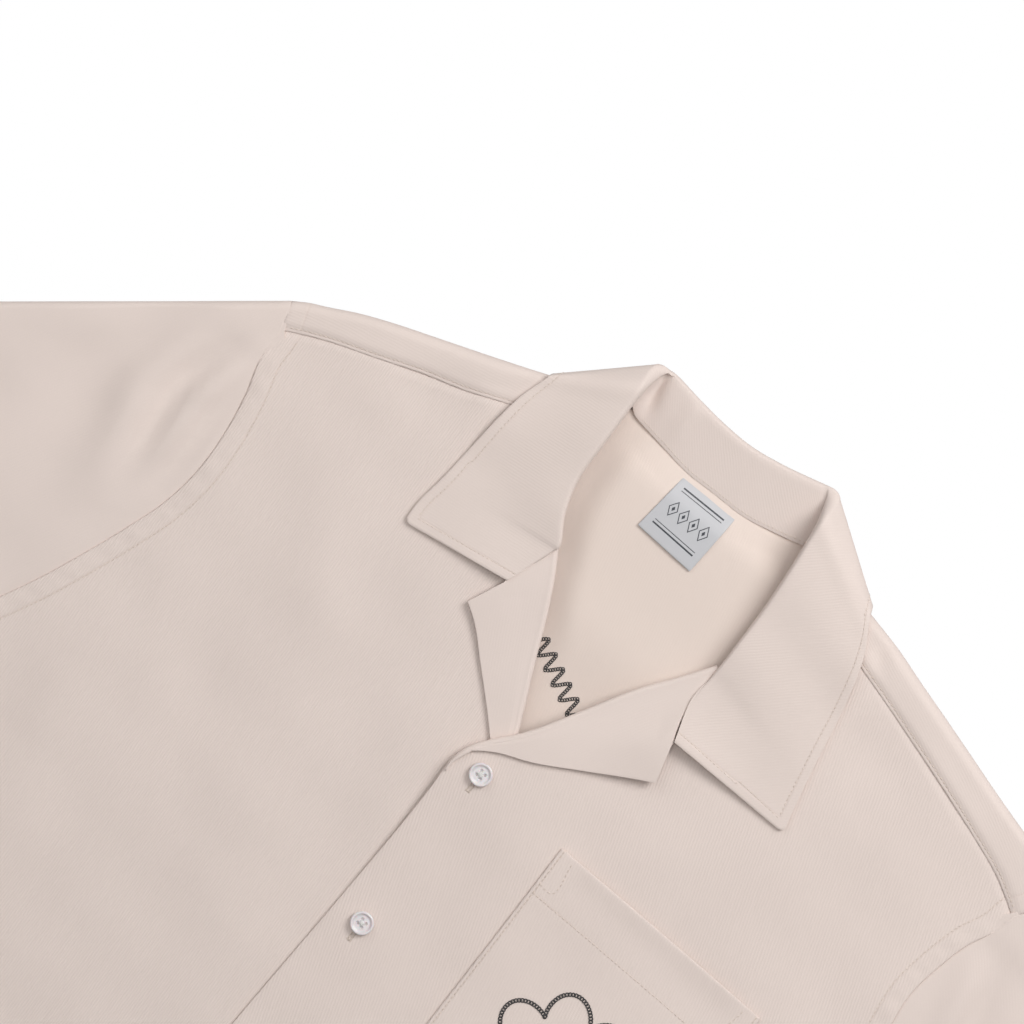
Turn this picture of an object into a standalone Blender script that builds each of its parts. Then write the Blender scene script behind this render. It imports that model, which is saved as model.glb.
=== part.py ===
"""A short-sleeved button-up shirt with an open notched collar, laid flat on its back and buttoned.

Millimetres in the tables, metres in the scene. x runs to the wearer's left, y to the collar and z up.
The tables measure y from the back neck seam; the part's origin lies ORIGIN_Y below it, on the ground.
Left and right in the names are the wearer's, so the left half has positive x.
"""

import bpy
import bmesh
import numpy as np
from mathutils import Vector

ORIGIN_Y = 300
WALL = 1.0
COLLAR_WALL = 1.4
FACING_WALL = 1.2
GAP = 0.3
LAP = WALL + GAP  # how far one cloth lying on another is above it
SEAM_TOP = 2.4  # top of the upper layer where a side seam joins it to the back
SEAM_FADE = 42  # width over which a panel rises from a side seam
SPREAD = 70  # reach of each place in PLACES
COLLAR_UNDER = 2.1  # lift of the back where the collar lies under it
STRIP_LAP = 8  # how far a front reaches under the shoulder
ARMHOLE_GAP = 0.55
ROLL_RADIUS = 1.6  # of the middle of a facing where it turns round a front's edge
ROLL_INSET = ROLL_RADIUS + FACING_WALL / 2  # from the seen roll to the middle of that turn

CLOTH = (0.78, 0.71, 0.64, 1)
INSIDE = (0.8, 0.74, 0.66, 1)
LABEL_WHITE = (0.72, 0.72, 0.74, 1)
PEARL = (0.86, 0.86, 0.83, 1)

# Height of the upper layer at named places: x, y, height
PLACES = (
    (-75, -12, 13.5),  # beside the neck
    (75, -8, 13.5),
    (-205, -60, 8.5),  # shoulder tips
    (238, -60, 8.5),
    (-45, -75, 10.5),  # where the lapels roll
    (48, -75, 10.5),
    (-120, -160, 7.5),  # chest
    (120, -160, 7.5),
    (0, -175, 6.5),  # top button
    (-200, -240, 6.5),
    (220, -240, 6.5),
    (-140, -420, 6.0),  # waist
    (0, -420, 6.0),
    (160, -420, 6.0),
    (-140, -690, 4.2),  # hem
    (0, -690, 4.6),
    (160, -690, 4.2),
    (-285, -190, 6.5),  # sleeves
    (315, -190, 6.5),
    (-370, -290, 4.4),  # cuffs
    (400, -290, 4.4),
)

# Lines of the plan, as x, y
RIGHT_SHOULDER = (
    (-60, 8.5), (-76, 3.0), (-95.3, -4.8), (-126.6, -16.5), (-148.6, -24.4), (-169.6, -32.1),
    (-184.3, -38.3), (-197.5, -45.1), (-205.4, -48.9), (-212.4, -53.3),
)
LEFT_SHOULDER = (
    (60, 10.5), (76, 6), (94.6, 1.0), (108.5, -2), (133.8, -7.5), (162.0, -17.0),
    (180.4, -23.2), (197.9, -29.7), (213.3, -32.9), (232, -38.5), (250.8, -44.2),
)
RIGHT_STRIP = (
    (-62.5, -12.5), (-82, -20.2), (-104.5, -28.7), (-122.4, -35.7), (-142.2, -41.6), (-165.1, -50.0),
    (-187.2, -57.8), (-199.1, -63.0), (-207.8, -67.5),
)
LEFT_STRIP = (
    (64.5, -10), (84, -15), (104.0, -20.8), (127.7, -27.7), (151.5, -34.0), (178.6, -44.4),
    (197.6, -50.4), (217.5, -58.1), (235.1, -68.5),
)
RIGHT_ARMHOLE = (
    (-212.4, -53.3), (-207.8, -67.5), (-207.1, -82.3), (-201.7, -101.9), (-197.9, -124.1),
    (-197.2, -145.4), (-200.7, -167.5), (-205.9, -183.7), (-215.5, -209.4), (-223.7, -229.3),
    (-232.9, -248.1), (-246, -272), (-262, -300),
)
LEFT_ARMHOLE = (
    (250.8, -44.2), (235.1, -68.5), (233.3, -78.0), (227.0, -91.8), (222.5, -109.7),
    (220.2, -127.1), (222.6, -147), (229, -178), (239, -212), (253, -246), (266, -272), (282, -300),
)
RIGHT_CUFF = ((-399.6, -203.3), (-345, -385))
LEFT_CUFF = ((436, -196), (368, -385))
RIGHT_SIDE = ((-266, -700), (-263, -500), (-262, -300))
LEFT_SIDE = ((286, -700), (283, -500), (282, -300))
BACK_NECK = (
    (-58, 9), (-50, 9.5), (-33.9, 8.5), (-15.6, 6.2), (4.9, 6.2), (17.3, 6.5), (28.1, 8), (40.4, 11), (50, 12.8), (58, 12),
)
# The front edges from the hem to the first button, the seen rolls from there to the collar, and the
# necklines from there to the shoulder seam
OVER_EDGE = ((-24, -700), (-23, -520), (-21.4, -337.6), (-18.8, -251.6), (-17.1, -185.7), (-14.9, -167.8))
UNDER_EDGE = ((10.5, -700), (11.5, -520), (13, -337), (13.6, -250), (13.5, -186))
OVER_ROLL = (
    (-9.4, -159.2), (-0.9, -145.6), (14.8, -119.8), (30.0, -93.5), (41.7, -77.3), (51.6, -62.6),
)
UNDER_ROLL = (
    (12.5, -177.5), (-2.4, -143.7), (-16.5, -113.9), (-25.4, -94.2), (-34.4, -76.8), (-41.3, -65.6),
)
OVER_NECKLINE = ((57, -60), (61, -45), (63.5, -25), (64, -9.5))
UNDER_NECKLINE = ((-46.5, -63), (-53, -47), (-59.5, -27), (-62, -12.5))
# The lapels' free edges from the first button by the tip to the notch, and the middle of the gorge
OVER_LAPEL = ((-4.4, -160.6), (11.9, -154.0), (32.1, -141.5), (57.0, -127.4), (63.5, -124.0))
OVER_NOTCH = (58.3, -105.2)
OVER_GORGE = (52.6, -86)
UNDER_LAPEL = ((9, -178.5), (-11.4, -155.1), (-37.1, -130.4), (-51.3, -117.3), (-58.9, -112.3))
UNDER_NOTCH = (-51.2, -94.6)
UNDER_GORGE = (-46.2, -80.5)
# Where the stacked notches lift the lapel and collar leaf: x, y, lift, reach
NOTCH_LIFTS = ((62, -112, 3.2, 22), (-54, -101, 1.6, 18))

POCKET = {
    "mouth": ((48.4, -175.6), (110, -177.6), (172.1, -180.1)),
    "left": ((172.1, -180.1), (172.6, -240), (172.2, -302)),
    "right": ((48.4, -175.6), (49.7, -240), (50.5, -298)),
    "bottom": ((50.5, -298), (70, -317), (111, -321), (152, -320), (172.2, -302)),
}
LABEL = ((-15.6, -0.9), (15.9, -0.7), (14.2, -36.1), (-18.8, -34.1))
BUTTONS = [(-3.2, -172.2), (-3.2, -262.1), (-3.6, -352), (-4.0, -442), (-4.4, -532), (-4.8, -622)]


def smooth(v):
    """0 to 1 with flat ends, as 3v^2 - 2v^3."""
    v = np.clip(v, 0, 1)
    return v * v * (3 - 2 * v)


def curve(points, n, start=0.0, end=0.0):
    """n points evenly along a smooth line through the points, from start mm after the first to end mm before the last."""
    p = np.array(points, float)
    t = np.r_[0, np.cumsum(np.linalg.norm(np.diff(p, axis=0), axis=1))]
    slope = np.gradient(p, t, axis=0)
    at = np.linspace(0, t[-1], 30 * len(p))
    i = np.clip(np.searchsorted(t, at, side="right") - 1, 0, len(t) - 2)
    span = (t[i + 1] - t[i])[:, None]
    u = (at - t[i])[:, None] / span
    fine = (
        (2 * u**3 - 3 * u**2 + 1) * p[i]
        + (u**3 - 2 * u**2 + u) * span * slope[i]
        + (3 * u**2 - 2 * u**3) * p[i + 1]
        + (u**3 - u**2) * span * slope[i + 1]
    )
    s = np.r_[0, np.cumsum(np.linalg.norm(np.diff(fine, axis=0), axis=1))]
    wanted = np.linspace(start, s[-1] - end, n)
    return np.stack([np.interp(wanted, s, fine[:, k]) for k in range(p.shape[1])], 1)


def chain(*lines):
    """The lines as one, each starting where the last one ended."""
    return np.concatenate([lines[0]] + [line[1:] for line in lines[1:]])


def coons(bottom, top, left, right):
    """A grid of points blended between four edges that meet at their ends."""
    v = np.linspace(0, 1, len(left))[:, None, None]
    u = np.linspace(0, 1, len(bottom))[None, :, None]
    ruled = (1 - v) * bottom[None] + v * top[None]
    across = (1 - u) * left[:, None] + u * right[:, None]
    corners = (
        (1 - u) * (1 - v) * bottom[0] + u * (1 - v) * bottom[-1]
        + (1 - u) * v * top[0] + u * v * top[-1]
    )
    return ruled + across - corners


def from_line(x, y, line):
    """Distance in plan from each point to a broken line."""
    found = np.full(np.broadcast(x, y).shape, np.inf)
    for a, b in zip(np.array(line[:-1], float), np.array(line[1:], float)):
        d = b - a
        w = np.clip(((x - a[0]) * d[0] + (y - a[1]) * d[1]) / (d @ d), 0, 1)
        found = np.minimum(found, np.hypot(x - a[0] - w * d[0], y - a[1] - w * d[1]))
    return found


def top(x, y):
    """Height of the upper layer: PLACES blended by distance, fading to SEAM_TOP at the side seams."""
    x, y = np.broadcast_arrays(np.asarray(x, float), np.asarray(y, float))
    weight = [np.exp(-((x - a) ** 2 + (y - b) ** 2) / (2 * SPREAD**2)) + 1e-12 for a, b, _ in PLACES]
    height = sum(w * place[2] for w, place in zip(weight, PLACES)) / sum(weight)
    right = from_line(x, y, RIGHT_SIDE + (RIGHT_CUFF[1],))
    left = from_line(x, y, LEFT_SIDE + (LEFT_CUFF[1],))
    return SEAM_TOP + (height - SEAM_TOP) * smooth(np.minimum(right, left) / SEAM_FADE)


def over(x, y):
    """Height of the left front, which laps the right front and its lapel by the first button."""
    lap = (LAP + 0.3) * (1 - smooth((x - 20) / 30))
    bump = 3.7 * np.exp(-((x - 1) ** 2 + (y + 166) ** 2) / (2 * 38**2))
    return top(x, y) + lap + bump


def cover(x, y):
    """Height of what the collar lies on: the fronts, and the back's strips in front of the shoulders."""
    x, y = np.asarray(x, float), np.asarray(y, float)
    edge = np.array(RIGHT_STRIP[::-1] + LEFT_STRIP, float)
    on_strip = smooth((y - np.interp(x, edge[:, 0], edge[:, 1]) + 22) / 14)
    return np.where(x > 0, over(x, y), top(x, y)) + (LAP + 0.15) * on_strip


def notch_lift(x, y):
    return sum(h * np.exp(-((x - a) ** 2 + (y - b) ** 2) / (2 * s**2)) for a, b, h, s in NOTCH_LIFTS)


def under_lift(x, y):
    """Lift of the back over the part of the collar that lies under it."""
    return COLLAR_UNDER * smooth((y + 72) / 56) * (1 - smooth((np.abs(x) - 98) / 26))


def with_height(plan, height):
    plan = np.asarray(plan, float)
    return np.concatenate([plan, np.broadcast_to(height, plan.shape[:-1])[..., None]], -1)


def material(name, colour, rough=0.9):
    made = bpy.data.materials.new(name)
    made.use_nodes = True
    shader = made.node_tree.nodes["Principled BSDF"]
    shader.inputs["Base Color"].default_value = colour
    shader.inputs["Roughness"].default_value = rough
    return made


def sheet(name, grids, wall, colour, offset=-1.0, ring=False):
    """One cloth: grids of points, each with rows counterclockwise from its columns as seen from outside, and a wall."""
    mesh = bpy.data.meshes.new(name)
    form = bmesh.new()
    for grid in grids:
        rows, columns = grid.shape[:2]
        spots = grid.reshape(-1, 3) + (0, ORIGIN_Y, 0)
        made = [form.verts.new(spot / 1000) for spot in spots]
        for i in range(rows - 1):
            for j in range(columns if ring else columns - 1):
                k = (j + 1) % columns
                a, b = i * columns, (i + 1) * columns
                form.faces.new((made[a + j], made[a + k], made[b + k], made[b + j]))
    bmesh.ops.remove_doubles(form, verts=form.verts, dist=1e-6)
    form.to_mesh(mesh)
    form.free()
    piece = bpy.data.objects.new(name, mesh)
    bpy.context.collection.objects.link(piece)
    thick = piece.modifiers.new("wall", "SOLIDIFY")
    thick.thickness = wall / 1000
    thick.offset = offset
    mesh.materials.append(material(name, colour))
    return piece


def shoulder(silhouette, strip, columns):
    """The back's turn over one shoulder: its lower edge, and rows round the turn and on to the strip's edge."""
    outer, edge = curve(silhouette, columns), curve(strip, columns)
    d = outer - edge
    d /= np.linalg.norm(d, axis=1)[:, None]
    low = under_lift(outer[:, 0], outer[:, 1])
    r = (top(*(outer - 6 * d).T) + LAP - low) / 2
    middle = outer - r[:, None] * d
    rows = []
    for angle in np.radians(np.linspace(-90, 90, 9)):
        rows.append(with_height(middle + r[:, None] * np.cos(angle) * d, low + r + r * np.sin(angle)))
    for w in (0.4, 1.0):
        plan = middle + w * (edge - middle)
        height = top(*plan.T) + LAP
        rows.append(with_height(plan, (1 - w) * (low + 2 * r) + w * height))
    return np.array(rows)


def armhole(line, strip):
    """Shared points of an armhole, from the strip's end down to the underarm."""
    return curve(line, 12, start=np.linalg.norm(np.subtract(line[0], strip[-1])))


def back():
    columns = 9
    right = shoulder(RIGHT_SHOULDER[::-1], RIGHT_STRIP[::-1], columns)
    left = shoulder(LEFT_SHOULDER, LEFT_STRIP, columns)
    neck = curve((right[0, -1, :2],) + BACK_NECK[1:-1] + (left[0, 0, :2],), 9)
    upper = chain(right[0, :, :2], neck, left[0, :, :2])

    side_right = np.vstack([curve(RIGHT_SIDE, 6), armhole(RIGHT_ARMHOLE, RIGHT_STRIP)[-2::-1], upper[0]])
    side_left = np.vstack([curve(LEFT_SIDE, 6), armhole(LEFT_ARMHOLE, LEFT_STRIP)[-2::-1], upper[-1]])
    lower = curve((side_right[0], side_left[0]), len(upper))
    plan = coons(lower, upper, side_right, side_left)
    flat = with_height(plan, under_lift(plan[..., 0], plan[..., 1]))
    flat[-1] = chain(right[0], with_height(neck, under_lift(*neck.T)), left[0])
    return sheet("back", [flat[::-1], right[::-1], left[::-1]], WALL, CLOTH)


def front(name, sign, edge, roll, neckline, silhouette, strip, armhole_line, side_line, height):
    """One front, from its hem to the seam under the shoulder's strip."""
    across, tip = curve(silhouette, 14), curve(strip, 14)
    d = (across - tip) / np.linalg.norm(across - tip, axis=1)[:, None]
    shoulder_edge = tip + STRIP_LAP * d
    turned = curve(roll, 11)
    along = np.gradient(turned, axis=0)
    along /= np.linalg.norm(along, axis=1)[:, None]
    turned += (ROLL_INSET + 0.3) * sign * np.stack([along[:, 1], -along[:, 0]], 1)
    open_edge = curve(tuple(edge) + (turned[0],), 13)
    neck = curve((turned[-1],) + neckline + (shoulder_edge[0],), 6)
    inner = chain(open_edge, turned, neck)
    rest = armhole(armhole_line, strip)[-2::-1]
    outer = np.vstack([curve(side_line, len(inner) - len(rest) - 1), rest, shoulder_edge[-1]])
    hem = curve((inner[0], outer[0]), len(shoulder_edge))
    plan = coons(hem, shoulder_edge, inner, outer)
    grid = with_height(plan, height(plan[..., 0], plan[..., 1]))
    return sheet(name, [grid if sign > 0 else grid[:, ::-1]], WALL, CLOTH)


def sleeve(name, sign, armhole_line, strip, cuff):
    """A flattened tube from the armhole to the cuff, as rings of an upper layer, a turn, a lower layer and a turn."""
    turn = np.radians(np.linspace(90, -90, 6))[1:-1, None]
    hole = np.vstack([armhole_line[0], armhole(armhole_line, strip)])
    along = np.gradient(hole, axis=0)
    along /= np.linalg.norm(along, axis=1)[:, None]
    hole = hole + ARMHOLE_GAP * sign * np.stack([-along[:, 1], along[:, 0]], 1)
    share = np.r_[0, np.cumsum(np.linalg.norm(np.diff(hole, axis=0), axis=1))]
    end = np.array(cuff[0]) + (share / share[-1])[:, None] * np.subtract(cuff[1], cuff[0])
    r1 = SEAM_TOP / 2 + 0.05
    rings = []
    for t in np.linspace(0, 1, 8):
        plan = hole + t * (end - hole)
        up, down = plan[0] - plan[1], plan[-1] - plan[-2]
        up, down = up / np.linalg.norm(up), down / np.linalg.norm(down)
        r0 = float(cover(*(plan[0] - 6 * up))) / 2
        layer = np.vstack([plan[0] - r0 * up, plan[1:-1], plan[-1] - r1 * down])
        z = np.maximum(cover(layer[:, 0], layer[:, 1]), 2 * r1)
        z[0], z[-1] = 2 * r0, 2 * r1
        low = with_height(layer[-1] + r1 * np.cos(turn) * down, r1 + r1 * np.sin(turn[:, 0]))
        high = with_height(layer[0] + r0 * np.cos(turn) * up, r0 - r0 * np.sin(turn[:, 0]))
        rings.append(np.concatenate([with_height(layer, z), low, with_height(layer, 0.0)[::-1], high]))
    grid = np.array(rings)
    return sheet(name, [grid if sign > 0 else grid[:, ::-1]], WALL, CLOTH, ring=True)


def facing(name, sign, roll, lapel, notch, gorge, height):
    """The turned-out lapel: under the front, round its edge at the roll, and out to the lapel's edge."""
    rows = 11
    seen = curve(roll, rows)
    along = np.gradient(seen, axis=0)
    along /= np.linalg.norm(along, axis=1)[:, None]
    d = sign * np.stack([along[:, 1], -along[:, 0]], 1)
    middle = seen + ROLL_INSET * d
    free = chain(curve(lapel, rows - 2), curve((lapel[-1], notch), 3))
    z = height(middle[:, 0], middle[:, 1]) - WALL / 2
    lines = [
        with_height(middle + 9 * d, height(*(middle + 9 * d).T) - WALL / 2 - ROLL_RADIUS - 0.3),
        with_height(middle + 2.5 * d, height(*(middle + 2.5 * d).T) - WALL / 2 - ROLL_RADIUS - 0.15),
    ]
    for angle in np.radians(np.linspace(-90, 90, 7)):
        lines.append(with_height(middle - ROLL_RADIUS * np.cos(angle) * d, z + ROLL_RADIUS * np.sin(angle)))
    bend = np.array(gorge) - (middle[-1] + free[-1]) / 2
    for w in (0.15, 0.32, 0.5, 0.68, 0.85, 1.0):
        plan = middle + w * (free - middle)
        plan += np.linspace(0, 1, rows)[:, None] ** 6 * 4 * w * (1 - w) * bend
        lie = height(*plan.T) + GAP + FACING_WALL / 2 + 0.45
        lines.append(with_height(plan, lie + smooth(w * 1.5) * notch_lift(*plan.T)))
    grid = np.array(lines)
    return sheet(name, [grid], FACING_WALL, CLOTH, offset=0)


# The collar from the wearer's right notch round the back to the left one. Each section: the seam, the
# seen fold, the free edge, the turn's radius, the direction of the seen fold in plan, the turn's tilt
# from upright (0 in front, 180 behind) and how far the fold has formed.
COLLAR = (
    # seam            fold             edge              radius, direction, tilt, formed
    ((-52.6, -93.8), (-50.5, -93.0), (-106.0, -101.6), 2.0, (1.0, 0.2), 0, 0.0),
    ((-48.4, -82.0), (-46.0, -80.5), (-106.4, -90.0), 2.0, (1.0, 0.3), 0, 0.0),
    ((-45.6, -72.5), (-43.0, -69.5), (-105.0, -78.5), 2.0, (1.0, 0.5), 0, 0.3),
    ((-48.0, -63.0), (-43.2, -62.0), (-104.1, -70.0), 2.2, (0.9, 0.5), 0, 0.8),
    ((-54.5, -50.0), (-48.3, -50.9), (-103.2, -57.0), 2.6, (0.9, 0.4), 0, 1.0),
    ((-61.0, -33.0), (-54.0, -33.0), (-101.8, -38.0), 3.0, (1.0, 0.1), 0, 1.0),
    ((-64.0, -15.0), (-54.9, -14.2), (-100.0, -23.0), 3.2, (1.0, 0.0), 0, 1.0),
    ((-64.0, -3.0), (-55.6, 5.0), (-97.6, -12.5), 3.4, (1.0, 0.1), 0, 1.0),
    ((-62.5, 3.0), (-55.8, 18.0), (-96.6, -5.5), 3.4, (1.0, 0.4), 14, 1.0),
    ((-61.0, 4.5), (-55.9, 27.5), (-96.6, -2.0), 3.2, (0.8, 0.7), 45, 1.0),
    ((-56.3, 8.0), (-55.7, 32.8), (-95.6, -0.2), 3.0, (0.2, 1.0), 90, 1.0),
    ((-53.5, 6.6), (-52.6, 33.5), (-91.6, -3.2), 3.2, (0.0, 1.0), 140, 1.0),
    ((-50.0, 5.0), (-47.0, 32.8), (-84.0, -8.0), 3.4, (0.0, 1.0), 180, 1.0),
    ((-33.9, 2.5), (-32.0, 30.6), (-52.0, -12.0), 3.4, (0.0, 1.0), 180, 1.0),
    ((-15.6, -0.2), (-15.0, 28.8), (-24.0, -14.0), 3.4, (0.0, 1.0), 180, 1.0),
    ((0.0, 0.0), (1.0, 28.6), (2.0, -14.5), 3.4, (0.0, 1.0), 180, 1.0),
    ((17.3, 0.2), (17.3, 31.0), (28.0, -13.0), 3.4, (0.0, 1.0), 180, 1.0),
    ((32.0, 3.0), (31.0, 34.2), (54.0, -10.0), 3.4, (0.0, 1.0), 180, 1.0),
    ((46.0, 6.4), (38.0, 36.0), (81.0, -7.0), 3.4, (0.0, 1.0), 180, 1.0),
    ((53.5, 8.4), (42.0, 36.8), (89.4, 3.2), 3.2, (0.0, 1.0), 140, 1.0),
    ((56.3, 9.8), (44.4, 36.6), (95.5, 5.8), 3.0, (-0.2, 1.0), 90, 1.0),
    ((61.5, 6.0), (45.0, 31.0), (99.8, 3.0), 3.2, (-0.8, 0.7), 45, 1.0),
    ((64.5, 2.5), (46.0, 22.0), (101.4, -4.5), 3.4, (-1.0, 0.4), 14, 1.0),
    ((67.0, -6.0), (47.8, 10.0), (103.0, -15.0), 3.4, (-1.0, 0.1), 0, 1.0),
    ((67.0, -20.0), (50.0, -8.0), (105.4, -28.0), 3.2, (-1.0, 0.0), 0, 1.0),
    ((64.5, -38.0), (51.9, -30.0), (109.6, -46.0), 3.0, (-1.0, -0.1), 0, 1.0),
    ((61.0, -52.0), (52.5, -49.0), (113.8, -64.2), 2.6, (-1.0, 0.0), 0, 1.0),
    ((57.5, -62.0), (52.8, -60.0), (117.0, -76.0), 2.2, (-1.0, 0.0), 0, 0.8),
    ((54.0, -72.0), (52.6, -70.0), (119.6, -85.0), 2.0, (-1.0, 0.0), 0, 0.3),
    ((53.9, -86.0), (52.4, -84.0), (122.4, -94.5), 2.0, (-1.0, 0.0), 0, 0.0),
    ((59.9, -104.0), (58.4, -103.5), (125.3, -104.6), 2.0, (-1.0, 0.0), 0, 0.0),
)
STAND_STEPS, TURN_STEPS, FALL_STEPS = 2, 5, 6


def collar():
    half = COLLAR_WALL / 2
    rows = []
    for seam, fold, edge, r, toward, tilt, formed in COLLAR:
        seam, fold, edge = (np.array(p, float) for p in (seam, fold, edge))
        n = np.array(toward) / np.linalg.norm(toward)
        side = -1.0 if seam[0] < 0 else 1.0
        back_share = smooth(tilt / 180)
        seam_z = {90: 9.0, 140: 5.4, 180: 4.2}.get(tilt, cover(*seam) + GAP + half + 0.1)
        edge_z = half + 0.12 if tilt == 180 else cover(*edge) + GAP + half + 0.1
        if tilt in (45, 90, 140):
            edge_z = half + 0.12 + 7.4 * (1 + np.cos(np.radians(tilt)))
        middle = np.append(fold - (r + half) * n, 0)
        middle[2] = seam_z + r * np.cos(np.radians(tilt)) * (1 if tilt < 90 else 0)
        if tilt >= 90:
            middle[2] = half + 0.12 + r + (1 - back_share) * 9
        across = np.array((side * np.sin(np.radians(tilt)), 0, np.cos(np.radians(tilt))))
        out = np.append(n, 0)
        turn = np.linspace(0, np.pi, TURN_STEPS + 1)[:, None]
        arc = middle + r * (-np.cos(turn) * across + np.sin(turn) * out)
        seam3, edge3 = np.append(seam, seam_z), np.append(edge, edge_z)
        stand = seam3 + np.linspace(0, 1, STAND_STEPS + 1)[:-1, None] * (arc[0] - seam3)
        w = np.linspace(0, 1, FALL_STEPS + 1)[1:, None]
        fall = arc[-1] + w * (edge3 - arc[-1])
        ease = smooth(w[:, 0] / 0.85)
        if tilt < 90:
            rest = cover(fall[:, 0], fall[:, 1]) + GAP + half + 0.1 + notch_lift(fall[:, 0], fall[:, 1])
            drop = arc[-1, 2] + ease * (edge3[2] - arc[-1, 2])
            fall[:, 2] = np.maximum(drop, rest) if tilt < 30 else drop
        rolled = np.concatenate([stand, arc, fall])
        share = np.r_[np.linspace(0, 0.2, STAND_STEPS + TURN_STEPS + 2)[:-1], np.linspace(0.2, 1, FALL_STEPS + 1)]
        flat = seam + np.linspace(0, 1, len(rolled))[:, None] * (edge - seam)
        flat_z = cover(flat[:, 0], flat[:, 1]) + GAP + half + 0.1 + notch_lift(flat[:, 0], flat[:, 1])
        flat = with_height(flat, flat_z)
        rows.append(formed * rolled + (1 - formed) * flat)
    guide = np.array(rows)
    fine = np.stack([smooth_rows(guide[:, j]) for j in range(guide.shape[1])], 1)
    return sheet("collar", [fine], COLLAR_WALL, CLOTH, offset=0)


def smooth_rows(points):
    """A point between each two sections, on a smooth line through them."""
    p = np.asarray(points)
    slope = np.gradient(p, axis=0)
    middle = (p[:-1] + p[1:]) / 2 + (slope[:-1] - slope[1:]) / 8
    made = np.empty((2 * len(p) - 1, 3))
    made[::2], made[1::2] = p, middle
    return made


def pocket():
    mouth, bottom = curve(POCKET["mouth"], 9), curve(POCKET["bottom"], 9)
    plan = coons(bottom, mouth, curve(POCKET["right"][::-1], 9), curve(POCKET["left"][::-1], 9))
    height = over(plan[..., 0], plan[..., 1]) + LAP + 0.35
    return sheet("pocket", [with_height(plan, height)], WALL, CLOTH)


def label():
    a, b, c, d = (np.array(p) for p in LABEL)
    plan = coons(curve((d, c), 3), curve((a, b), 3), curve((d, a), 7), curve((c, b), 7))
    height = under_lift(plan[..., 0], plan[..., 1]) + 2 * WALL + GAP + 0.1
    return sheet("label", [with_height(plan, height)], WALL, LABEL_WHITE)


def button(number, x, y):
    """A four-hole button 11.5 mm across with a raised rim, laid on the slope of the left front."""
    rim, dish, height, floor, hole, pitch = 5.75, 4.4, 2.2, 1.5, 0.65, 1.35
    profile = ((0, 0), (rim - 0.6, 0), (rim, 0.7), (rim - 0.4, height), (dish + 0.4, height), (dish - 0.4, floor), (0, floor))
    mesh = bpy.data.meshes.new(f"button_{number}")
    form = bmesh.new()
    steps = 20
    rings = []
    for r, z in profile[1:-1]:
        rings.append([form.verts.new((r * np.cos(a), r * np.sin(a), z)) for a in np.arange(steps) * 2 * np.pi / steps])
    for lower, upper in zip(rings, rings[1:]):
        for j in range(steps):
            k = (j + 1) % steps
            form.faces.new((lower[j], lower[k], upper[k], upper[j]))
    form.faces.new(rings[0][::-1])
    form.faces.new(rings[-1])
    form.to_mesh(mesh)
    form.free()
    piece = bpy.data.objects.new(f"button_{number}", mesh)
    bpy.context.collection.objects.link(piece)
    mesh.materials.append(material(piece.name, PEARL, 0.35))
    for i, (a, b) in enumerate(((1, 1), (-1, 1), (-1, -1), (1, -1))):
        bpy.ops.mesh.primitive_cylinder_add(vertices=6, radius=hole, depth=9, location=(a * pitch, b * pitch, 1))
        drill = bpy.context.object
        drill.name = f"drill_{number}_{i}"
        drill.hide_render = True
        drill.parent = piece
        cut = piece.modifiers.new(f"hole {i + 1}", "BOOLEAN")
        cut.operation, cut.solver, cut.object = "DIFFERENCE", "EXACT", drill
    slope = np.array([over(x + 4, y) - over(x - 4, y), over(x, y + 4) - over(x, y - 4)]) / 8
    normal = Vector((-slope[0], -slope[1], 1)).normalized()
    piece.scale = (0.001, 0.001, 0.001)
    piece.rotation_euler = normal.to_track_quat("Z", "Y").to_euler()
    spot = Vector((x, y + ORIGIN_Y, float(over(x, y)))) + 0.45 * normal
    piece.location = spot / 1000
    return piece


for old in list(bpy.data.objects):
    bpy.data.objects.remove(old)

back()
front("front_left", 1, OVER_EDGE, OVER_ROLL, OVER_NECKLINE, LEFT_SHOULDER, LEFT_STRIP, LEFT_ARMHOLE, LEFT_SIDE, over)
front("front_right", -1, UNDER_EDGE, UNDER_ROLL, UNDER_NECKLINE, RIGHT_SHOULDER, RIGHT_STRIP, RIGHT_ARMHOLE, RIGHT_SIDE, top)
sleeve("sleeve_left", 1, LEFT_ARMHOLE, LEFT_STRIP, LEFT_CUFF)
sleeve("sleeve_right", -1, RIGHT_ARMHOLE, RIGHT_STRIP, RIGHT_CUFF)
facing("facing_left", 1, OVER_ROLL, OVER_LAPEL, OVER_NOTCH, OVER_GORGE, over)
facing("facing_right", -1, UNDER_ROLL, UNDER_LAPEL, UNDER_NOTCH, UNDER_GORGE, top)
collar()
pocket()
label()
for index, (x, y) in enumerate(BUTTONS):
    button(index + 1, x, y)
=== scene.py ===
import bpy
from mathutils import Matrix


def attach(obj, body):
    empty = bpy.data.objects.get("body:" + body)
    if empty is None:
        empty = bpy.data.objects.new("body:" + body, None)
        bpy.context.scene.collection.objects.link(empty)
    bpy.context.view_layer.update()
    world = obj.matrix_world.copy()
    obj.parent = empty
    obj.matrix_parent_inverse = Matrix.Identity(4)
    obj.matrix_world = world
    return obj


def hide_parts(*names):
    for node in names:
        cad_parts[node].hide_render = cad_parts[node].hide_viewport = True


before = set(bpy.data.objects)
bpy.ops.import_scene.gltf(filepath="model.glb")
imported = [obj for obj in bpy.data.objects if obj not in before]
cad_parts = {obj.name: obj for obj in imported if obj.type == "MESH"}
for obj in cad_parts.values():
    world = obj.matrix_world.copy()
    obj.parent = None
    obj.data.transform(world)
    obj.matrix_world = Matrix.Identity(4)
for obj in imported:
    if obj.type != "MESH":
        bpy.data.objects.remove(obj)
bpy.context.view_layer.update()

import math

import bpy
import numpy as np
from mathutils import Vector

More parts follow.
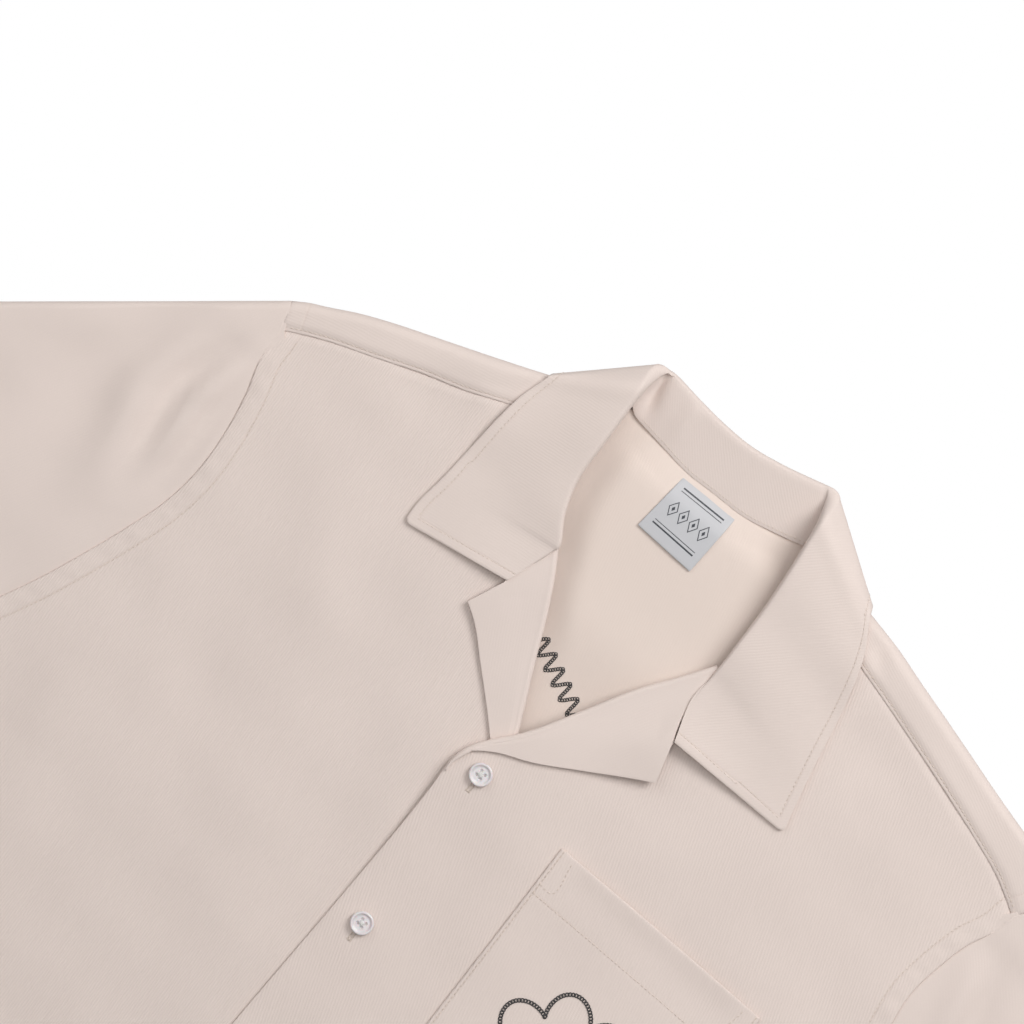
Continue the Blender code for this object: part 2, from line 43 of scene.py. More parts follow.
# The twill: a cream cotton with a rib every 1.3 mm or so, soft and matt.
# Every panel is cut from it, so its weave, its sewn edges and its laying are set up here.
cream = (0.770, 0.664, 0.612)
# A warmer cream for painted shade deep in the open neck, where the inside of the back lies in shadow.
cream_neck_shade = (0.775, 0.664, 0.598, 1)


def new_group(name, inputs, outputs):
    """A shader node group with these float or vector sockets, and its input and output nodes."""
    group = bpy.data.node_groups.new(name, "ShaderNodeTree")
    for label, kind in inputs:
        group.interface.new_socket(label, in_out="INPUT", socket_type=kind)
    for label, kind in outputs:
        group.interface.new_socket(label, in_out="OUTPUT", socket_type=kind)
    return group, group.nodes.new("NodeGroupInput"), group.nodes.new("NodeGroupOutput")


def node(tree, kind, links=(), **settings):
    """A node with its properties set, and its inputs linked from sockets or set to values, by index."""
    made = tree.nodes.new(kind)
    for key, value in settings.items():
        setattr(made, key, value)
    for index, source in links:
        if isinstance(source, bpy.types.NodeSocket):
            tree.links.new(source, made.inputs[index])
        else:
            made.inputs[index].default_value = source
    return made


def maths(tree, operation, *values):
    """The result of a math node on these sockets or numbers."""
    return node(tree, "ShaderNodeMath", list(enumerate(values)), operation=operation).outputs[0]


def ramp(tree, value, start, end, low, high, kind="LINEAR"):
    """The value taken from start..end to low..high, and held beyond both ends."""
    values = list(enumerate((value, start, end, low, high)))
    return node(tree, "ShaderNodeMapRange", values, interpolation_type=kind).outputs[0]


def mix(tree, share, one, other, blend="MIX"):
    """The colour between two, each a socket or RGBA values, at this share of the second."""
    values = [(0, share), (6, one), (7, other)]
    return node(tree, "ShaderNodeMix", values, data_type="RGBA", blend_type=blend).outputs[2]


def bump(tree, height, strength, distance, normal=None):
    """The normal bumped by the height times the distance in metres, over another normal if there is one."""
    made = node(tree, "ShaderNodeBump")
    made.inputs["Strength"].default_value = strength
    made.inputs["Distance"].default_value = distance
    tree.links.new(height, made.inputs["Height"])
    if normal:
        tree.links.new(normal, made.inputs["Normal"])
    return made.outputs["Normal"]


def new_material(name, inputs):
    """A material with these inputs of its shader set, its node tree and the shader."""
    made = bpy.data.materials.new(name)
    made.use_nodes = True
    shader = made.node_tree.nodes["Principled BSDF"]
    for key, value in inputs.items():
        shader.inputs[key].default_value = value
    return made, made.node_tree, shader


# Twill: U runs across the ribs and V along them, in metres. Height is a rounded rib with small
# breaks where the yarns cross, and Tone is the cloth's faint mottling and flecks, about 0.
twill, into, out = new_group(
    "twill weave",
    [("Place", "NodeSocketVector"), ("Pitch", "NodeSocketFloat"), ("Crisp", "NodeSocketFloat")],
    [("Height", "NodeSocketFloat"), ("Tone", "NodeSocketFloat")],
)
yarn_pitch = 0.0009
place = into.outputs["Place"]
split = node(twill, "ShaderNodeSeparateXYZ", [(0, place)])
wander = node(twill, "ShaderNodeTexNoise", [(0, place), (2, 160.0), (3, 2.0)])
shift = maths(twill, "MULTIPLY", wander.outputs[0], 0.55)
ribs = maths(twill, "DIVIDE", split.outputs[0], into.outputs["Pitch"])
turns = maths(twill, "MULTIPLY", maths(twill, "ADD", ribs, shift), 2 * math.pi)
yarns = maths(twill, "MULTIPLY", split.outputs[1], 2 * math.pi / yarn_pitch)
slant = maths(twill, "MULTIPLY_ADD", turns, 0.5, yarns)
weave = maths(twill, "MULTIPLY_ADD", maths(twill, "SINE", slant), 0.16, maths(twill, "SINE", turns))
ribbing = maths(twill, "MULTIPLY", weave, into.outputs["Crisp"])
fuzz = node(twill, "ShaderNodeTexNoise", [(0, place), (2, 1300.0), (3, 2.0)]).outputs[0]
cloudy = node(twill, "ShaderNodeTexNoise", [(0, place), (2, 45.0), (3, 4.0)]).outputs[0]
toned = maths(twill, "MULTIPLY_ADD", ribbing, 1.3, maths(twill, "MULTIPLY_ADD", cloudy, 2.0, -1.0))
flecks = maths(twill, "MULTIPLY_ADD", fuzz, 2.4, -1.2)
twill.links.new(maths(twill, "MULTIPLY_ADD", fuzz, 0.3, ribbing), out.inputs["Height"])
twill.links.new(maths(twill, "ADD", toned, flecks), out.inputs["Tone"])

# A sewn edge: Distance in millimetres from the edge, with a row of stitches at Inset. The doubled
# cloth outside the row stands a little proud, the row pulls it in, and the cloth dips at its edge.
# The groove along the row also goes out as a mask for painted shade there.
sewn, into, out = new_group(
    "sewn edge",
    [("Distance", "NodeSocketFloat"), ("Inset", "NodeSocketFloat")],
    [("Height", "NodeSocketFloat"), ("Painted Groove Shade", "NodeSocketFloat")],
)
past = maths(sewn, "SUBTRACT", into.outputs["Distance"], into.outputs["Inset"])
band = ramp(sewn, past, -0.9, 0.7, 1.0, 0.0, "SMOOTHSTEP")
off_row = maths(sewn, "DIVIDE", past, 0.55)
groove = maths(sewn, "EXPONENT", maths(sewn, "MULTIPLY", maths(sewn, "MULTIPLY", off_row, off_row), -1.0))
pulled = maths(sewn, "MULTIPLY_ADD", groove, -0.9, band)
dip = ramp(sewn, into.outputs["Distance"], 0.0, 0.9, -1.2, 0.0, "SMOOTHSTEP")
sewn.links.new(maths(sewn, "ADD", pulled, dip), out.inputs["Height"])
sewn.links.new(groove, out.inputs["Painted Groove Shade"])


def cream_twill(name, crisp=0.4, pitch=0.00135, inset=9.5, inside=None):
    """The cloth's material: twill on the piece's own UV map, and a sewn edge at its seam attribute.

    The inside colour, if there is one, is painted shade: a warmer cream low down in the open neck and
    near the centre line, where the neck lies in shadow."""
    made, tree, shader = new_material(name, {
        "Roughness": 0.92, "Specular IOR Level": 0.18, "Sheen Weight": 0.12, "Sheen Roughness": 0.55,
    })
    lay = node(tree, "ShaderNodeUVMap", uv_map="weave")
    cloth = node(tree, "ShaderNodeGroup", node_tree=twill)
    tree.links.new(lay.outputs[0], cloth.inputs["Place"])
    cloth.inputs["Pitch"].default_value = pitch
    cloth.inputs["Crisp"].default_value = crisp
    edge = node(tree, "ShaderNodeGroup", node_tree=sewn)
    seam = node(tree, "ShaderNodeAttribute", attribute_name="seam")
    tree.links.new(seam.outputs["Fac"], edge.inputs["Distance"])
    edge.inputs["Inset"].default_value = inset
    pressed = bump(tree, edge.outputs["Height"], 0.6, 0.00018)
    tree.links.new(bump(tree, cloth.outputs["Height"], 0.75, 0.00006, pressed), shader.inputs["Normal"])
    dark, light = ([c * share for c in cream] + [1] for share in (0.934, 1.03))
    colour = mix(tree, ramp(tree, cloth.outputs["Tone"], -2.4, 2.4, 0.0, 1.0), dark, light)
    # Painted shade: the warmer cream where the cloth is low down and near the centre line, in the open neck.
    if inside:
        place = node(tree, "ShaderNodeTexCoord")
        x, _, z = node(tree, "ShaderNodeSeparateXYZ", [(0, place.outputs["Object"])]).outputs
        low = ramp(tree, z, 0.0085, 0.0115, 1.0, 0.0)
        central = ramp(tree, maths(tree, "ABSOLUTE", x), 0.066, 0.082, 1.0, 0.0)
        colour = mix(tree, maths(tree, "MULTIPLY", low, central), colour, inside)
    # Painted shade: the colour darkened towards a warm grey along the groove of the stitched row.
    fold = maths(tree, "MULTIPLY", edge.outputs["Painted Groove Shade"], 0.2)
    colour = mix(tree, fold, colour, (0.86, 0.80, 0.76, 1), "MULTIPLY")
    tree.links.new(colour, shader.inputs["Base Color"])
    return made


def grid_faces(index):
    """Four-sided faces between the neighbours in a grid of point numbers."""
    return np.stack([index[:-1, :-1], index[:-1, 1:], index[1:, 1:], index[1:, :-1]], -1).reshape(-1, 4)


def smooth_piece(name, points, faces, material):
    """A smooth object at the origin, from points in mm with y counted from the neck seam."""
    mesh = bpy.data.meshes.new(name)
    mesh.from_pydata(((points + (0, origin_y, 0)) / 1000).tolist(), [], faces)
    mesh.shade_smooth()
    mesh.materials.append(material)
    piece = bpy.data.objects.new(name, mesh)
    bpy.context.collection.objects.link(piece)
    return piece


def sheet_of(name, grids, wall, material, offset=-1.0, ring=False):
    """A panel: grids of (points in mm, UV in mm, distance to its sewn edge in mm), joined and given a wall."""
    points, uvs, seams, faces, start = [], [], [], [], 0
    for spots, weave_uv, seam in grids:
        rows, columns = spots.shape[:2]
        index = start + np.arange(rows * columns).reshape(rows, columns)
        if ring:
            index = np.concatenate([index, index[:, :1]], 1)
        faces.append(grid_faces(index))
        points.append(spots.reshape(-1, 3))
        uvs.append(weave_uv.reshape(-1, 2))
        seams.append(np.broadcast_to(seam, (rows, columns)).reshape(-1))
        start += rows * columns
    points, uvs, seams, faces = map(np.concatenate, (points, uvs, seams, faces))
    _, first, shared = np.unique(np.round(points, 4), axis=0, return_index=True, return_inverse=True)
    piece = smooth_piece(name, points[first], shared.reshape(-1)[faces].tolist(), material)
    weave_map = piece.data.uv_layers.new(name="weave")
    weave_map.data.foreach_set("uv", (uvs[faces].reshape(-1, 2) / 1000).astype(np.float32).ravel())
    to_seam = piece.data.attributes.new("seam", "FLOAT", "POINT")
    to_seam.data.foreach_set("value", seams[first].astype(np.float32))
    thick = piece.modifiers.new("wall", "SOLIDIFY")
    thick.thickness, thick.offset = wall / 1000, offset
    rounded = piece.modifiers.new("edge", "BEVEL")
    rounded.width, rounded.segments = 0.42 * wall / 1000, 2
    rounded.limit_method, rounded.angle_limit = "ANGLE", math.radians(55)
    return piece


# How the shirt lies: the lower layer is flat on the ground, and the upper one stands on it, higher
# at the neck and shoulders and falling to the side seams, with soft folds where it was smoothed out.
origin_y = 300
cloth_wall, gap = 1.0, 0.3
lap = cloth_wall + gap
seam_top, seam_fade, spread = 2.4, 42, 70
# Places: x, y and the height of the upper layer there, in mm.
places = (
    (-75, -12, 13.5), (75, -8, 13.5), (-205, -60, 8.5), (238, -60, 8.5), (-45, -75, 10.5), (48, -75, 10.5),
    (-120, -160, 7.5), (120, -160, 7.5), (0, -175, 6.5), (-200, -240, 6.5), (220, -240, 6.5),
    (-140, -420, 6.0), (0, -420, 6.0), (160, -420, 6.0), (-140, -690, 4.2), (0, -690, 4.6), (160, -690, 4.2),
    (-285, -190, 6.5), (315, -190, 6.5), (-370, -290, 4.4), (400, -290, 4.4),
)
# Soft folds: half-width, height, then the points that each runs through.
soft_folds = (
    (4.2, 3.6, (-207, -66), (-214, -94), (-220, -120), (-218, -146), (-220, -176)),
    (4.4, -3.0, (-216, -76), (-228, -112), (-226, -148), (-222, -182)),
    (6.5, 3.6, (-220, -62), (-237, -94), (-245, -126), (-236, -160), (-226, -198)),
    (3.4, -2.2, (-203, -84), (-207, -116), (-208, -146), (-214, -180)),
    (11, -2.4, (-244, -74), (-266, -136), (-252, -212)), (15, 1.9, (-282, -75), (-308, -190)),
    (11, -1.7, (-212, -238), (-203, -270), (-200, -330)), (12, 1.5, (-186, -205), (-176, -270), (-172, -340)),
    (4.5, 2.6, (236, -84), (241, -122), (246, -150)), (5, -2.2, (245, -78), (252, -120), (256, -165)),
    (9, 1.6, (262, -84), (270, -160), (262, -220)), (14, -1.4, (296, -90), (306, -180)),
    (3.2, -2.0, (98, 7), (107, -6), (113, -22)), (4.5, -1.1, (-95, -4), (-104, -18), (-114, -34)),
    (9, -0.7, (122, -34), (152, -64)), (12, -0.8, (-108, -34), (-152, -64)),
    (11, 1.1, (-160, -90), (-118, -150), (-92, -200)), (12, -1.3, (-178, -150), (-146, -205), (-112, -270)),
    (15, 1.3, (-110, -205), (-80, -270), (-52, -340)), (9, -1.0, (-46, -180), (-30, -300)),
    (18, 1.0, (-165, -290), (-105, -410)), (12, 0.6, (64, -130), (156, -150)), (14, 0.8, (188, -140), (202, -250)),
    (9, -0.8, (26, -190), (27, -300)), (20, 0.9, (-122, -470), (-58, -650)), (22, 1.0, (148, -390), (192, -610)),
    (16, -0.7, (60, -510), (40, -700)), (12, 1.0, (-298, -140), (-352, -240)), (12, -0.9, (-283, -230), (-332, -330)),
    (14, 0.9, (-268, -140), (-302, -270)), (14, 1.0, (298, -110), (374, -190)), (14, -1.0, (288, -220), (348, -320)),
    (16, 0.9, (328, -140), (382, -270)),
)


def smooth(v):
    """0 to 1 with flat ends, as 3v^2 - 2v^3."""
    v = np.clip(v, 0, 1)
    return v * v * (3 - 2 * v)


def from_line(x, y, line):
    """Distance in plan from each point to a broken line."""
    found = np.full(np.broadcast(x, y).shape, np.inf)
    for a, b in zip(np.array(line[:-1], float), np.array(line[1:], float)):
        d = b - a
        w = np.clip(((x - a[0]) * d[0] + (y - a[1]) * d[1]) / (d @ d), 0, 1)
        found = np.minimum(found, np.hypot(x - a[0] - w * d[0], y - a[1] - w * d[1]))
    return found


def folds(x, y):
    """Soft folds, and a faint ripple of three crossing waves.

    Each fold is a bell curve of the distance to its line, times a taper that falls to 0 at both ends."""
    z = 0.0
    for half, high, *line in soft_folds:
        ends = np.minimum(np.hypot(x - line[0][0], y - line[0][1]), np.hypot(x - line[-1][0], y - line[-1][1]))
        taper = smooth(ends / (0.45 * math.dist(line[0], line[-1])))
        z = z + high * taper * np.exp(-((from_line(x, y, line) / half) ** 2) / 2)
    for angle, wave, high, start in ((25, 61, 0.24, 0.4), (78, 43, 0.13, 2.1), (-40, 84, 0.30, 1.2)):
        a = math.radians(angle)
        z = z + high * np.sin(2 * math.pi * (x * math.cos(a) + y * math.sin(a)) / wave + start)
    return z


def top(x, y):
    """The upper layer's height: places blended by distance, with its folds, fading to the side seams."""
    x, y = np.broadcast_arrays(np.asarray(x, float), np.asarray(y, float))
    weight = [np.exp(-((x - a) ** 2 + (y - b) ** 2) / (2 * spread**2)) + 1e-12 for a, b, _ in places]
    height = sum(w * place[2] for w, place in zip(weight, places)) / sum(weight) + folds(x, y)
    away = np.minimum(from_line(x, y, right_side + right_cuff[1:]), from_line(x, y, left_side + left_cuff[1:]))
    return seam_top + (height - seam_top) * smooth(away / seam_fade)


# The back: one panel from hem to neck that wraps forward over both shoulders, where its edge is
# turned in and topstitched down on the fronts. Its inside shows in the open neck.
right_shoulder = (
    (-60, 8.5), (-76, 3.0), (-95.3, -4.8), (-126.6, -16.5), (-148.6, -24.4), (-169.6, -32.1),
    (-184.3, -38.3), (-197.5, -45.1), (-205.4, -48.9), (-212.4, -53.3),
)
left_shoulder = (
    (60, 10.5), (76, 6), (94.8, 1.4), (113.7, -3.0), (133.3, -9.1), (152.3, -14.8),
    (171.5, -20.7), (190.7, -26.7), (209.8, -32.3), (232, -38.4), (250.8, -44.2),
)
right_strip = (
    (-62.5, -12.5), (-82, -20.2), (-104.5, -28.7), (-122.4, -35.7), (-142.2, -41.6), (-165.1, -50.0),
    (-187.2, -57.8), (-199.1, -63.0), (-207.8, -67.5),
)
left_strip = (
    (64.5, -10), (84, -15), (104.0, -20.8), (127.7, -27.8), (151.5, -35.2), (178.6, -44.0),
    (197.6, -50.6), (217.5, -58.3), (235.1, -68.5),
)
right_armhole = (
    (-212.4, -53.3), (-207.8, -67.5), (-207.1, -82.3), (-201.7, -101.9), (-197.9, -124.1), (-197.2, -145.4),
    (-200.7, -167.5), (-205.9, -183.7), (-215.5, -209.4), (-223.7, -229.3), (-232.9, -248.1), (-246, -272), (-262, -300),
)
left_armhole = (
    (250.8, -44.2), (235.1, -68.5), (233.3, -78.0), (227.0, -91.8), (222.5, -109.7), (220.2, -127.1),
    (222.6, -147), (229, -178), (239, -212), (253, -246), (266, -272), (282, -300),
)
right_cuff, left_cuff = ((-399.6, -203.3), (-345, -385)), ((436, -196), (368, -385))
right_side, left_side = ((-266, -700), (-263, -500), (-262, -300)), ((286, -700), (283, -500), (282, -300))
back_neck = ((-50, 9.5), (-33.9, 8.5), (-15.6, 6.2), (4.9, 6.2), (17.3, 6.5), (28.1, 8), (40.4, 11), (50, 12.8))
# The strip's turned edge dips by this much over this width, and a seam distance stands for no seam.
edge_dip, dip_width, unsewn = 1.15, 5, 60.0


def run_of(line):
    """The distance along a line at each of its points."""
    return np.r_[0, np.cumsum(np.linalg.norm(np.diff(line, axis=0), axis=1))]


def curve(line, n, start=0.0, end=0.0):
    """n points evenly along a cubic through the points.

    They run from start mm after the first point to end mm before the last one."""
    p = np.array(line, float)
    t = run_of(p)
    slope = np.gradient(p, t, axis=0)
    at = np.linspace(0, t[-1], 40 * len(p))
    i = np.clip(np.searchsorted(t, at, side="right") - 1, 0, len(t) - 2)
    span = (t[i + 1] - t[i])[:, None]
    u = (at - t[i])[:, None] / span
    fine = (
        (2 * u**3 - 3 * u**2 + 1) * p[i] + (u**3 - 2 * u**2 + u) * span * slope[i]
        + (3 * u**2 - 2 * u**3) * p[i + 1] + (u**3 - u**2) * span * slope[i + 1]
    )
    s = run_of(fine)
    wanted = np.linspace(start, s[-1] - end, n)
    return np.stack([np.interp(wanted, s, fine[:, k]) for k in range(p.shape[1])], 1)


def chain(*lines):
    """The lines as one, each starting where the last one ended."""
    return np.concatenate([lines[0]] + [line[1:] for line in lines[1:]])


def coons(bottom, upper, left, right):
    """A grid blended between four edges: the two ruled surfaces added, less the one between the corners."""
    v = np.linspace(0, 1, len(left))[:, None, None]
    u = np.linspace(0, 1, len(bottom))[None, :, None]
    corners = (1 - v) * ((1 - u) * bottom[0] + u * bottom[-1]) + v * ((1 - u) * upper[0] + u * upper[-1])
    return (1 - v) * bottom[None] + v * upper[None] + (1 - u) * left[:, None] + u * right[:, None] - corners


def under_lift(x, y):
    """The lift of the back over the part of the collar that lies under it, and its rise inside the neck.

    The rise grows with the distance from the roll on the wearer's right, and fades at the neck seam and below."""
    roll = np.interp(-y, (0, 20, 43, 54, 66, 144), (-55.3, -54.5, -51.3, -47.3, -41.3, -2.4))
    rise = 4.2 * smooth((x - roll) / 18) * smooth(-y / 16) * smooth((y + 128) / 46) * smooth((92 - x) / 40)
    return 2.1 * smooth((y + 72) / 56) * (1 - smooth((np.abs(x) - 98) / 26)) + rise


def with_height(plan, height):
    """Plan points with a height added to each."""
    plan = np.asarray(plan, float)
    return np.concatenate([plan, np.broadcast_to(height, plan.shape[:-1])[..., None]], -1)


def rib_uv(plan, angle):
    """Plan points turned so that V runs along ribs at this angle from the x axis, in degrees."""
    a = math.radians(angle)
    along = plan[..., 0] * math.cos(a) + plan[..., 1] * math.sin(a)
    across = plan[..., 0] * math.sin(a) - plan[..., 1] * math.cos(a)
    return np.stack([across, along], -1)


def grid_run(grid, axis):
    """The distance along a grid's lines at each of its points, from the first row or column."""
    steps = np.diff(grid, axis=axis, prepend=np.take(grid, [0], axis))
    return np.cumsum(np.linalg.norm(steps, axis=2), axis=axis)


def dress(piece, node_name):
    """The piece stands for a CAD node and moves with the shirt."""
    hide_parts(node_name)
    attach(piece, "root")
    return piece


def armhole(line, strip, n):
    """n points of an armhole, from the strip's end down to the underarm."""
    return curve(line, n, start=np.linalg.norm(np.subtract(line[0], strip[-1])))


def over_shoulder(silhouette, strip, columns):
    """Rows from the flat back round the fold of the shoulder, a half circle, and on to the strip's edge."""
    outer, edge = curve(silhouette, columns), curve(strip, columns)
    d = outer - edge
    d /= np.linalg.norm(d, axis=1)[:, None]
    low = under_lift(outer[:, 0], outer[:, 1])
    r = (top(*(outer - 6 * d).T) + lap - low) / 2
    middle = outer - r[:, None] * d
    turns = np.radians(np.linspace(-90, 90, 19))[:, None]
    round_it = with_height(middle + (r * np.cos(turns))[..., None] * d, low + r + r * np.sin(turns))
    w = np.linspace(0, 1, 13)[1:, None]
    plan = middle + w[..., None] * (edge - middle)
    ease = smooth(w * 1.6)
    height = (1 - ease) * (low + 2 * r) + ease * (top(plan[..., 0], plan[..., 1]) + lap)
    height = height - edge_dip * smooth(1 - np.linalg.norm(plan - edge, axis=2) / dip_width)
    return np.concatenate([round_it, with_height(plan, height)])


shoulder_r = over_shoulder(right_shoulder[::-1], right_strip[::-1], 60)
shoulder_l = over_shoulder(left_shoulder, left_strip, 60)
neck_edge = curve((shoulder_r[0, -1, :2],) + back_neck + (shoulder_l[0, 0, :2],), 50)
upper_edge = chain(shoulder_r[0, :, :2], neck_edge, shoulder_l[0, :, :2])
side_r = np.vstack([curve(right_side, 50), armhole(right_armhole, right_strip, 70)[-2::-1], upper_edge[0]])
side_l = np.vstack([curve(left_side, 50), armhole(left_armhole, left_strip, 70)[-2::-1], upper_edge[-1]])
flat = coons(curve((side_r[0], side_l[0]), len(upper_edge)), upper_edge, side_r, side_l)
back_flat = with_height(flat, under_lift(flat[..., 0], flat[..., 1]))
back_flat[-1] = chain(shoulder_r[0], with_height(neck_edge, under_lift(*neck_edge.T)), shoulder_l[0])
back_grids = [(back_flat[::-1], rib_uv(back_flat[::-1, :, :2], 104), unsewn)]
for rows, line, hole in ((shoulder_r, right_strip, right_armhole), (shoulder_l, left_strip, left_armhole)):
    rows = rows[::-1]
    run = grid_run(rows, 0)
    strip_uv = rib_uv(np.stack([rows[..., 0], run], -1), 171)
    back_grids.append((rows, strip_uv, np.minimum(run + 7.2, from_line(rows[..., 0], rows[..., 1], hole))))
# The back's inside, low in the open neck, takes the warmer cream as painted shade.
back_twill = cream_twill("back twill", 0.34, inset=8.9, inside=cream_neck_shade)
back = dress(sheet_of("back_panel", back_grids, cloth_wall, back_twill), "back")

# The fronts: the wearer's left one laps the right one and carries the buttonholes. Each ends at the
# fold of its lapel, runs under the shoulder's strip, and is topstitched along the armhole.
over_edge = ((-24, -700), (-23, -520), (-21.4, -337.6), (-18.8, -251.6), (-17.9, -200), (-18.2, -187))
under_edge = ((10.5, -700), (11.5, -520), (13, -337), (13.6, -250), (13.5, -186))
over_roll = (
    (-18.6, -181.0), (-18.9, -175.8), (-18.3, -171.9), (-15.9, -165.0), (-10.6, -157.2), (-0.9, -145.6),
    (14.8, -119.8), (30.0, -93.5), (41.7, -77.3), (51.6, -62.6),
)
under_roll = ((12.5, -177.5), (-2.4, -143.7), (-16.5, -113.9), (-25.4, -94.2), (-34.4, -76.8), (-41.3, -65.6))
over_neckline = ((57, -60), (61, -45), (63.5, -25), (64, -9.5))
under_neckline = ((-46.5, -63), (-53, -47), (-59.5, -27), (-62, -12.5))
roll_radius, facing_wall = 1.6, 1.2
roll_inset = roll_radius + facing_wall / 2


def over(x, y):
    """The left front's height: it laps the right front down the middle, and its lapel by the first button."""
    lapped = (lap + 0.3) * (1 - smooth((x - 20) / 30))
    return top(x, y) + lapped + 3.7 * np.exp(-((x - 1) ** 2 + (y + 166) ** 2) / (2 * 38**2))


def unit_steps(line):
    """The direction of a line at each of its points: its gradient over the gradient's length."""
    d = np.gradient(line, axis=0)
    return d / np.linalg.norm(d, axis=1)[:, None]


def front(name, sign, edge, roll, neckline, silhouette, strip, hole, side, height, rib_angle, crisp, pitch):
    """A Coons panel from the hem to 8 mm under the shoulder's strip, at the given height function.

    It sinks by 0.7 mm under the strip, and puckers in waves within a few mm of the armhole's stitching."""
    across, tip = curve(silhouette, 110), curve(strip, 110)
    d = (across - tip) / np.linalg.norm(across - tip, axis=1)[:, None]
    shoulder_edge = tip + 8 * d
    turned = curve(roll, 60)
    along = unit_steps(turned)
    formed = smooth(run_of(turned) / 14)[:, None]
    turned = turned + (roll_inset + 0.3) * formed * sign * np.stack([along[:, 1], -along[:, 0]], 1)
    neck = curve((turned[-1],) + neckline + (shoulder_edge[0],), 26)
    inner = chain(curve(tuple(edge) + (turned[0],), 120), turned, neck)
    rest = armhole(hole, strip, 100)[-2::-1]
    outer = np.vstack([curve(side, len(inner) - len(rest) - 1), rest, shoulder_edge[-1]])
    plan = coons(curve((inner[0], outer[0]), 110), shoulder_edge, inner, outer)
    to_strip = from_line(plan[..., 0], plan[..., 1], strip)
    past = plan[..., 1] > np.interp(plan[..., 0], *np.array(sorted(strip)).T)
    sunk = 0.7 * np.where(past, 1, smooth(1 - to_strip / 1.1))
    seam = from_line(plan[..., 0], plan[..., 1], hole)
    wavy = np.sin(0.66 * plan[..., 1] + 1.6 * np.sin(0.11 * plan[..., 1])) + 0.6 * np.sin(0.41 * plan[..., 1] + 2)
    puckers = 0.16 * wavy * np.exp(-(((seam - 5) / 3.4) ** 2)) + 0.22 * np.exp(-(((seam - 5) / 3.6) ** 2))
    grid = with_height(plan, height(plan[..., 0], plan[..., 1]) - sunk + puckers)
    if sign < 0:
        grid, seam = grid[:, ::-1], seam[:, ::-1]
    weave_uv = rib_uv(grid[..., :2], rib_angle)
    cloth = cream_twill(name + " twill", crisp, pitch)
    return sheet_of(name, [(grid, weave_uv, seam)], cloth_wall, cloth)


front_left = dress(front(
    "left_front", 1, over_edge, over_roll, over_neckline, left_shoulder, left_strip, left_armhole, left_side,
    over, 109, 0.84, 0.00141,
), "front_left")
front_right = dress(front(
    "right_front", -1, under_edge, under_roll, under_neckline, right_shoulder, right_strip, right_armhole, right_side,
    top, 92, 1.05, 0.00124,
), "front_right")

# The sleeves: short tubes set into the armholes, laid flat, with a fold along the top and a seam
# under the arm, and a hem stitched 25 mm up from each cuff.
cuff_hem = 25


def cover(x, y):
    """The height of what the collar lies on: the fronts, and the back's strips in front of the shoulders."""
    x, y = np.asarray(x, float), np.asarray(y, float)
    edge = np.array(right_strip[::-1] + left_strip, float)
    on_strip = smooth((y - np.interp(x, edge[:, 0], edge[:, 1]) + 22) / 14)
    return np.where(x > 0, over(x, y), top(x, y)) + (lap + 0.15) * on_strip


def sleeve(name, sign, hole_line, strip, cuff, rib_angle):
    """Rings ruled from the armhole to the cuff: an upper layer, a half circle, a lower layer, a half circle.

    The first rings pass inwards under the edge of the body, sunk by a little more than its thickness."""
    turn = np.radians(np.linspace(90, -90, 14))[1:-1, None]
    hole = np.vstack([hole_line[0], armhole(hole_line, strip, 70)])
    along = unit_steps(hole)
    away = sign * np.stack([-along[:, 1], along[:, 0]], 1)
    room = np.clip((top(*(hole - 6 * away).T) - 3.4) / 1.8 * smooth(np.arange(len(hole)) / 4), 0.03, 1)
    hole = hole + 0.1 * away
    share = run_of(hole)
    end = np.array(cuff[0]) + (share / share[-1])[:, None] * np.subtract(cuff[1], cuff[0])
    r1 = seam_top / 2 + 0.05
    rings, cuffs = [], []
    stations = [
        (0, 5.0, 1.3), (0, 2.5, 1.25), (0, 0.7, 1.1), (0, 0.25, 0.9), (0, -0.05, 0.66), (0, -0.5, 0.56), (0, -1.1, 0.5),
    ]
    stations += [(t, 0.0, 0.45 * math.exp(-22 * t)) for t in np.linspace(0, 1, 44)[1:]]
    for t, inward, sink in stations:
        plan = hole + t * (end - hole) - inward * room[:, None] * away
        up, down = plan[0] - plan[1], plan[-1] - plan[-2]
        up, down = up / np.linalg.norm(up), down / np.linalg.norm(down)
        r0 = float(cover(*(plan[0] - 6 * up))) / 2
        layer = np.vstack([plan[0] - r0 * up, plan[1:-1], plan[-1] - r1 * down])
        z = np.maximum(cover(layer[:, 0], layer[:, 1]), 2 * r1)
        z[0], z[-1] = 2 * r0, 2 * r1
        low = with_height(layer[-1] + r1 * np.cos(turn) * down, r1 + r1 * np.sin(turn[:, 0]))
        high = with_height(layer[0] + r0 * np.cos(turn) * up, r0 - r0 * np.sin(turn[:, 0]))
        z = z - sink * room
        rings.append(np.concatenate([with_height(layer, z), low, with_height(layer, sink * room)[::-1], high]))
    grid = np.array(rings)
    seam = from_line(grid[..., 0], grid[..., 1], cuff)
    if sign < 0:
        grid, seam = grid[:, ::-1], seam[:, ::-1]
    cloth = cream_twill(name + " twill", 0.15, inset=cuff_hem)
    return sheet_of(name, [(grid, rib_uv(grid[..., :2], rib_angle), seam)], cloth_wall, cloth, ring=True)


sleeve_left = dress(sleeve("left_sleeve", 1, left_armhole, left_strip, left_cuff, 132), "sleeve_left")
sleeve_right = dress(sleeve("right_sleeve", -1, right_armhole, right_strip, right_cuff, 62), "sleeve_right")

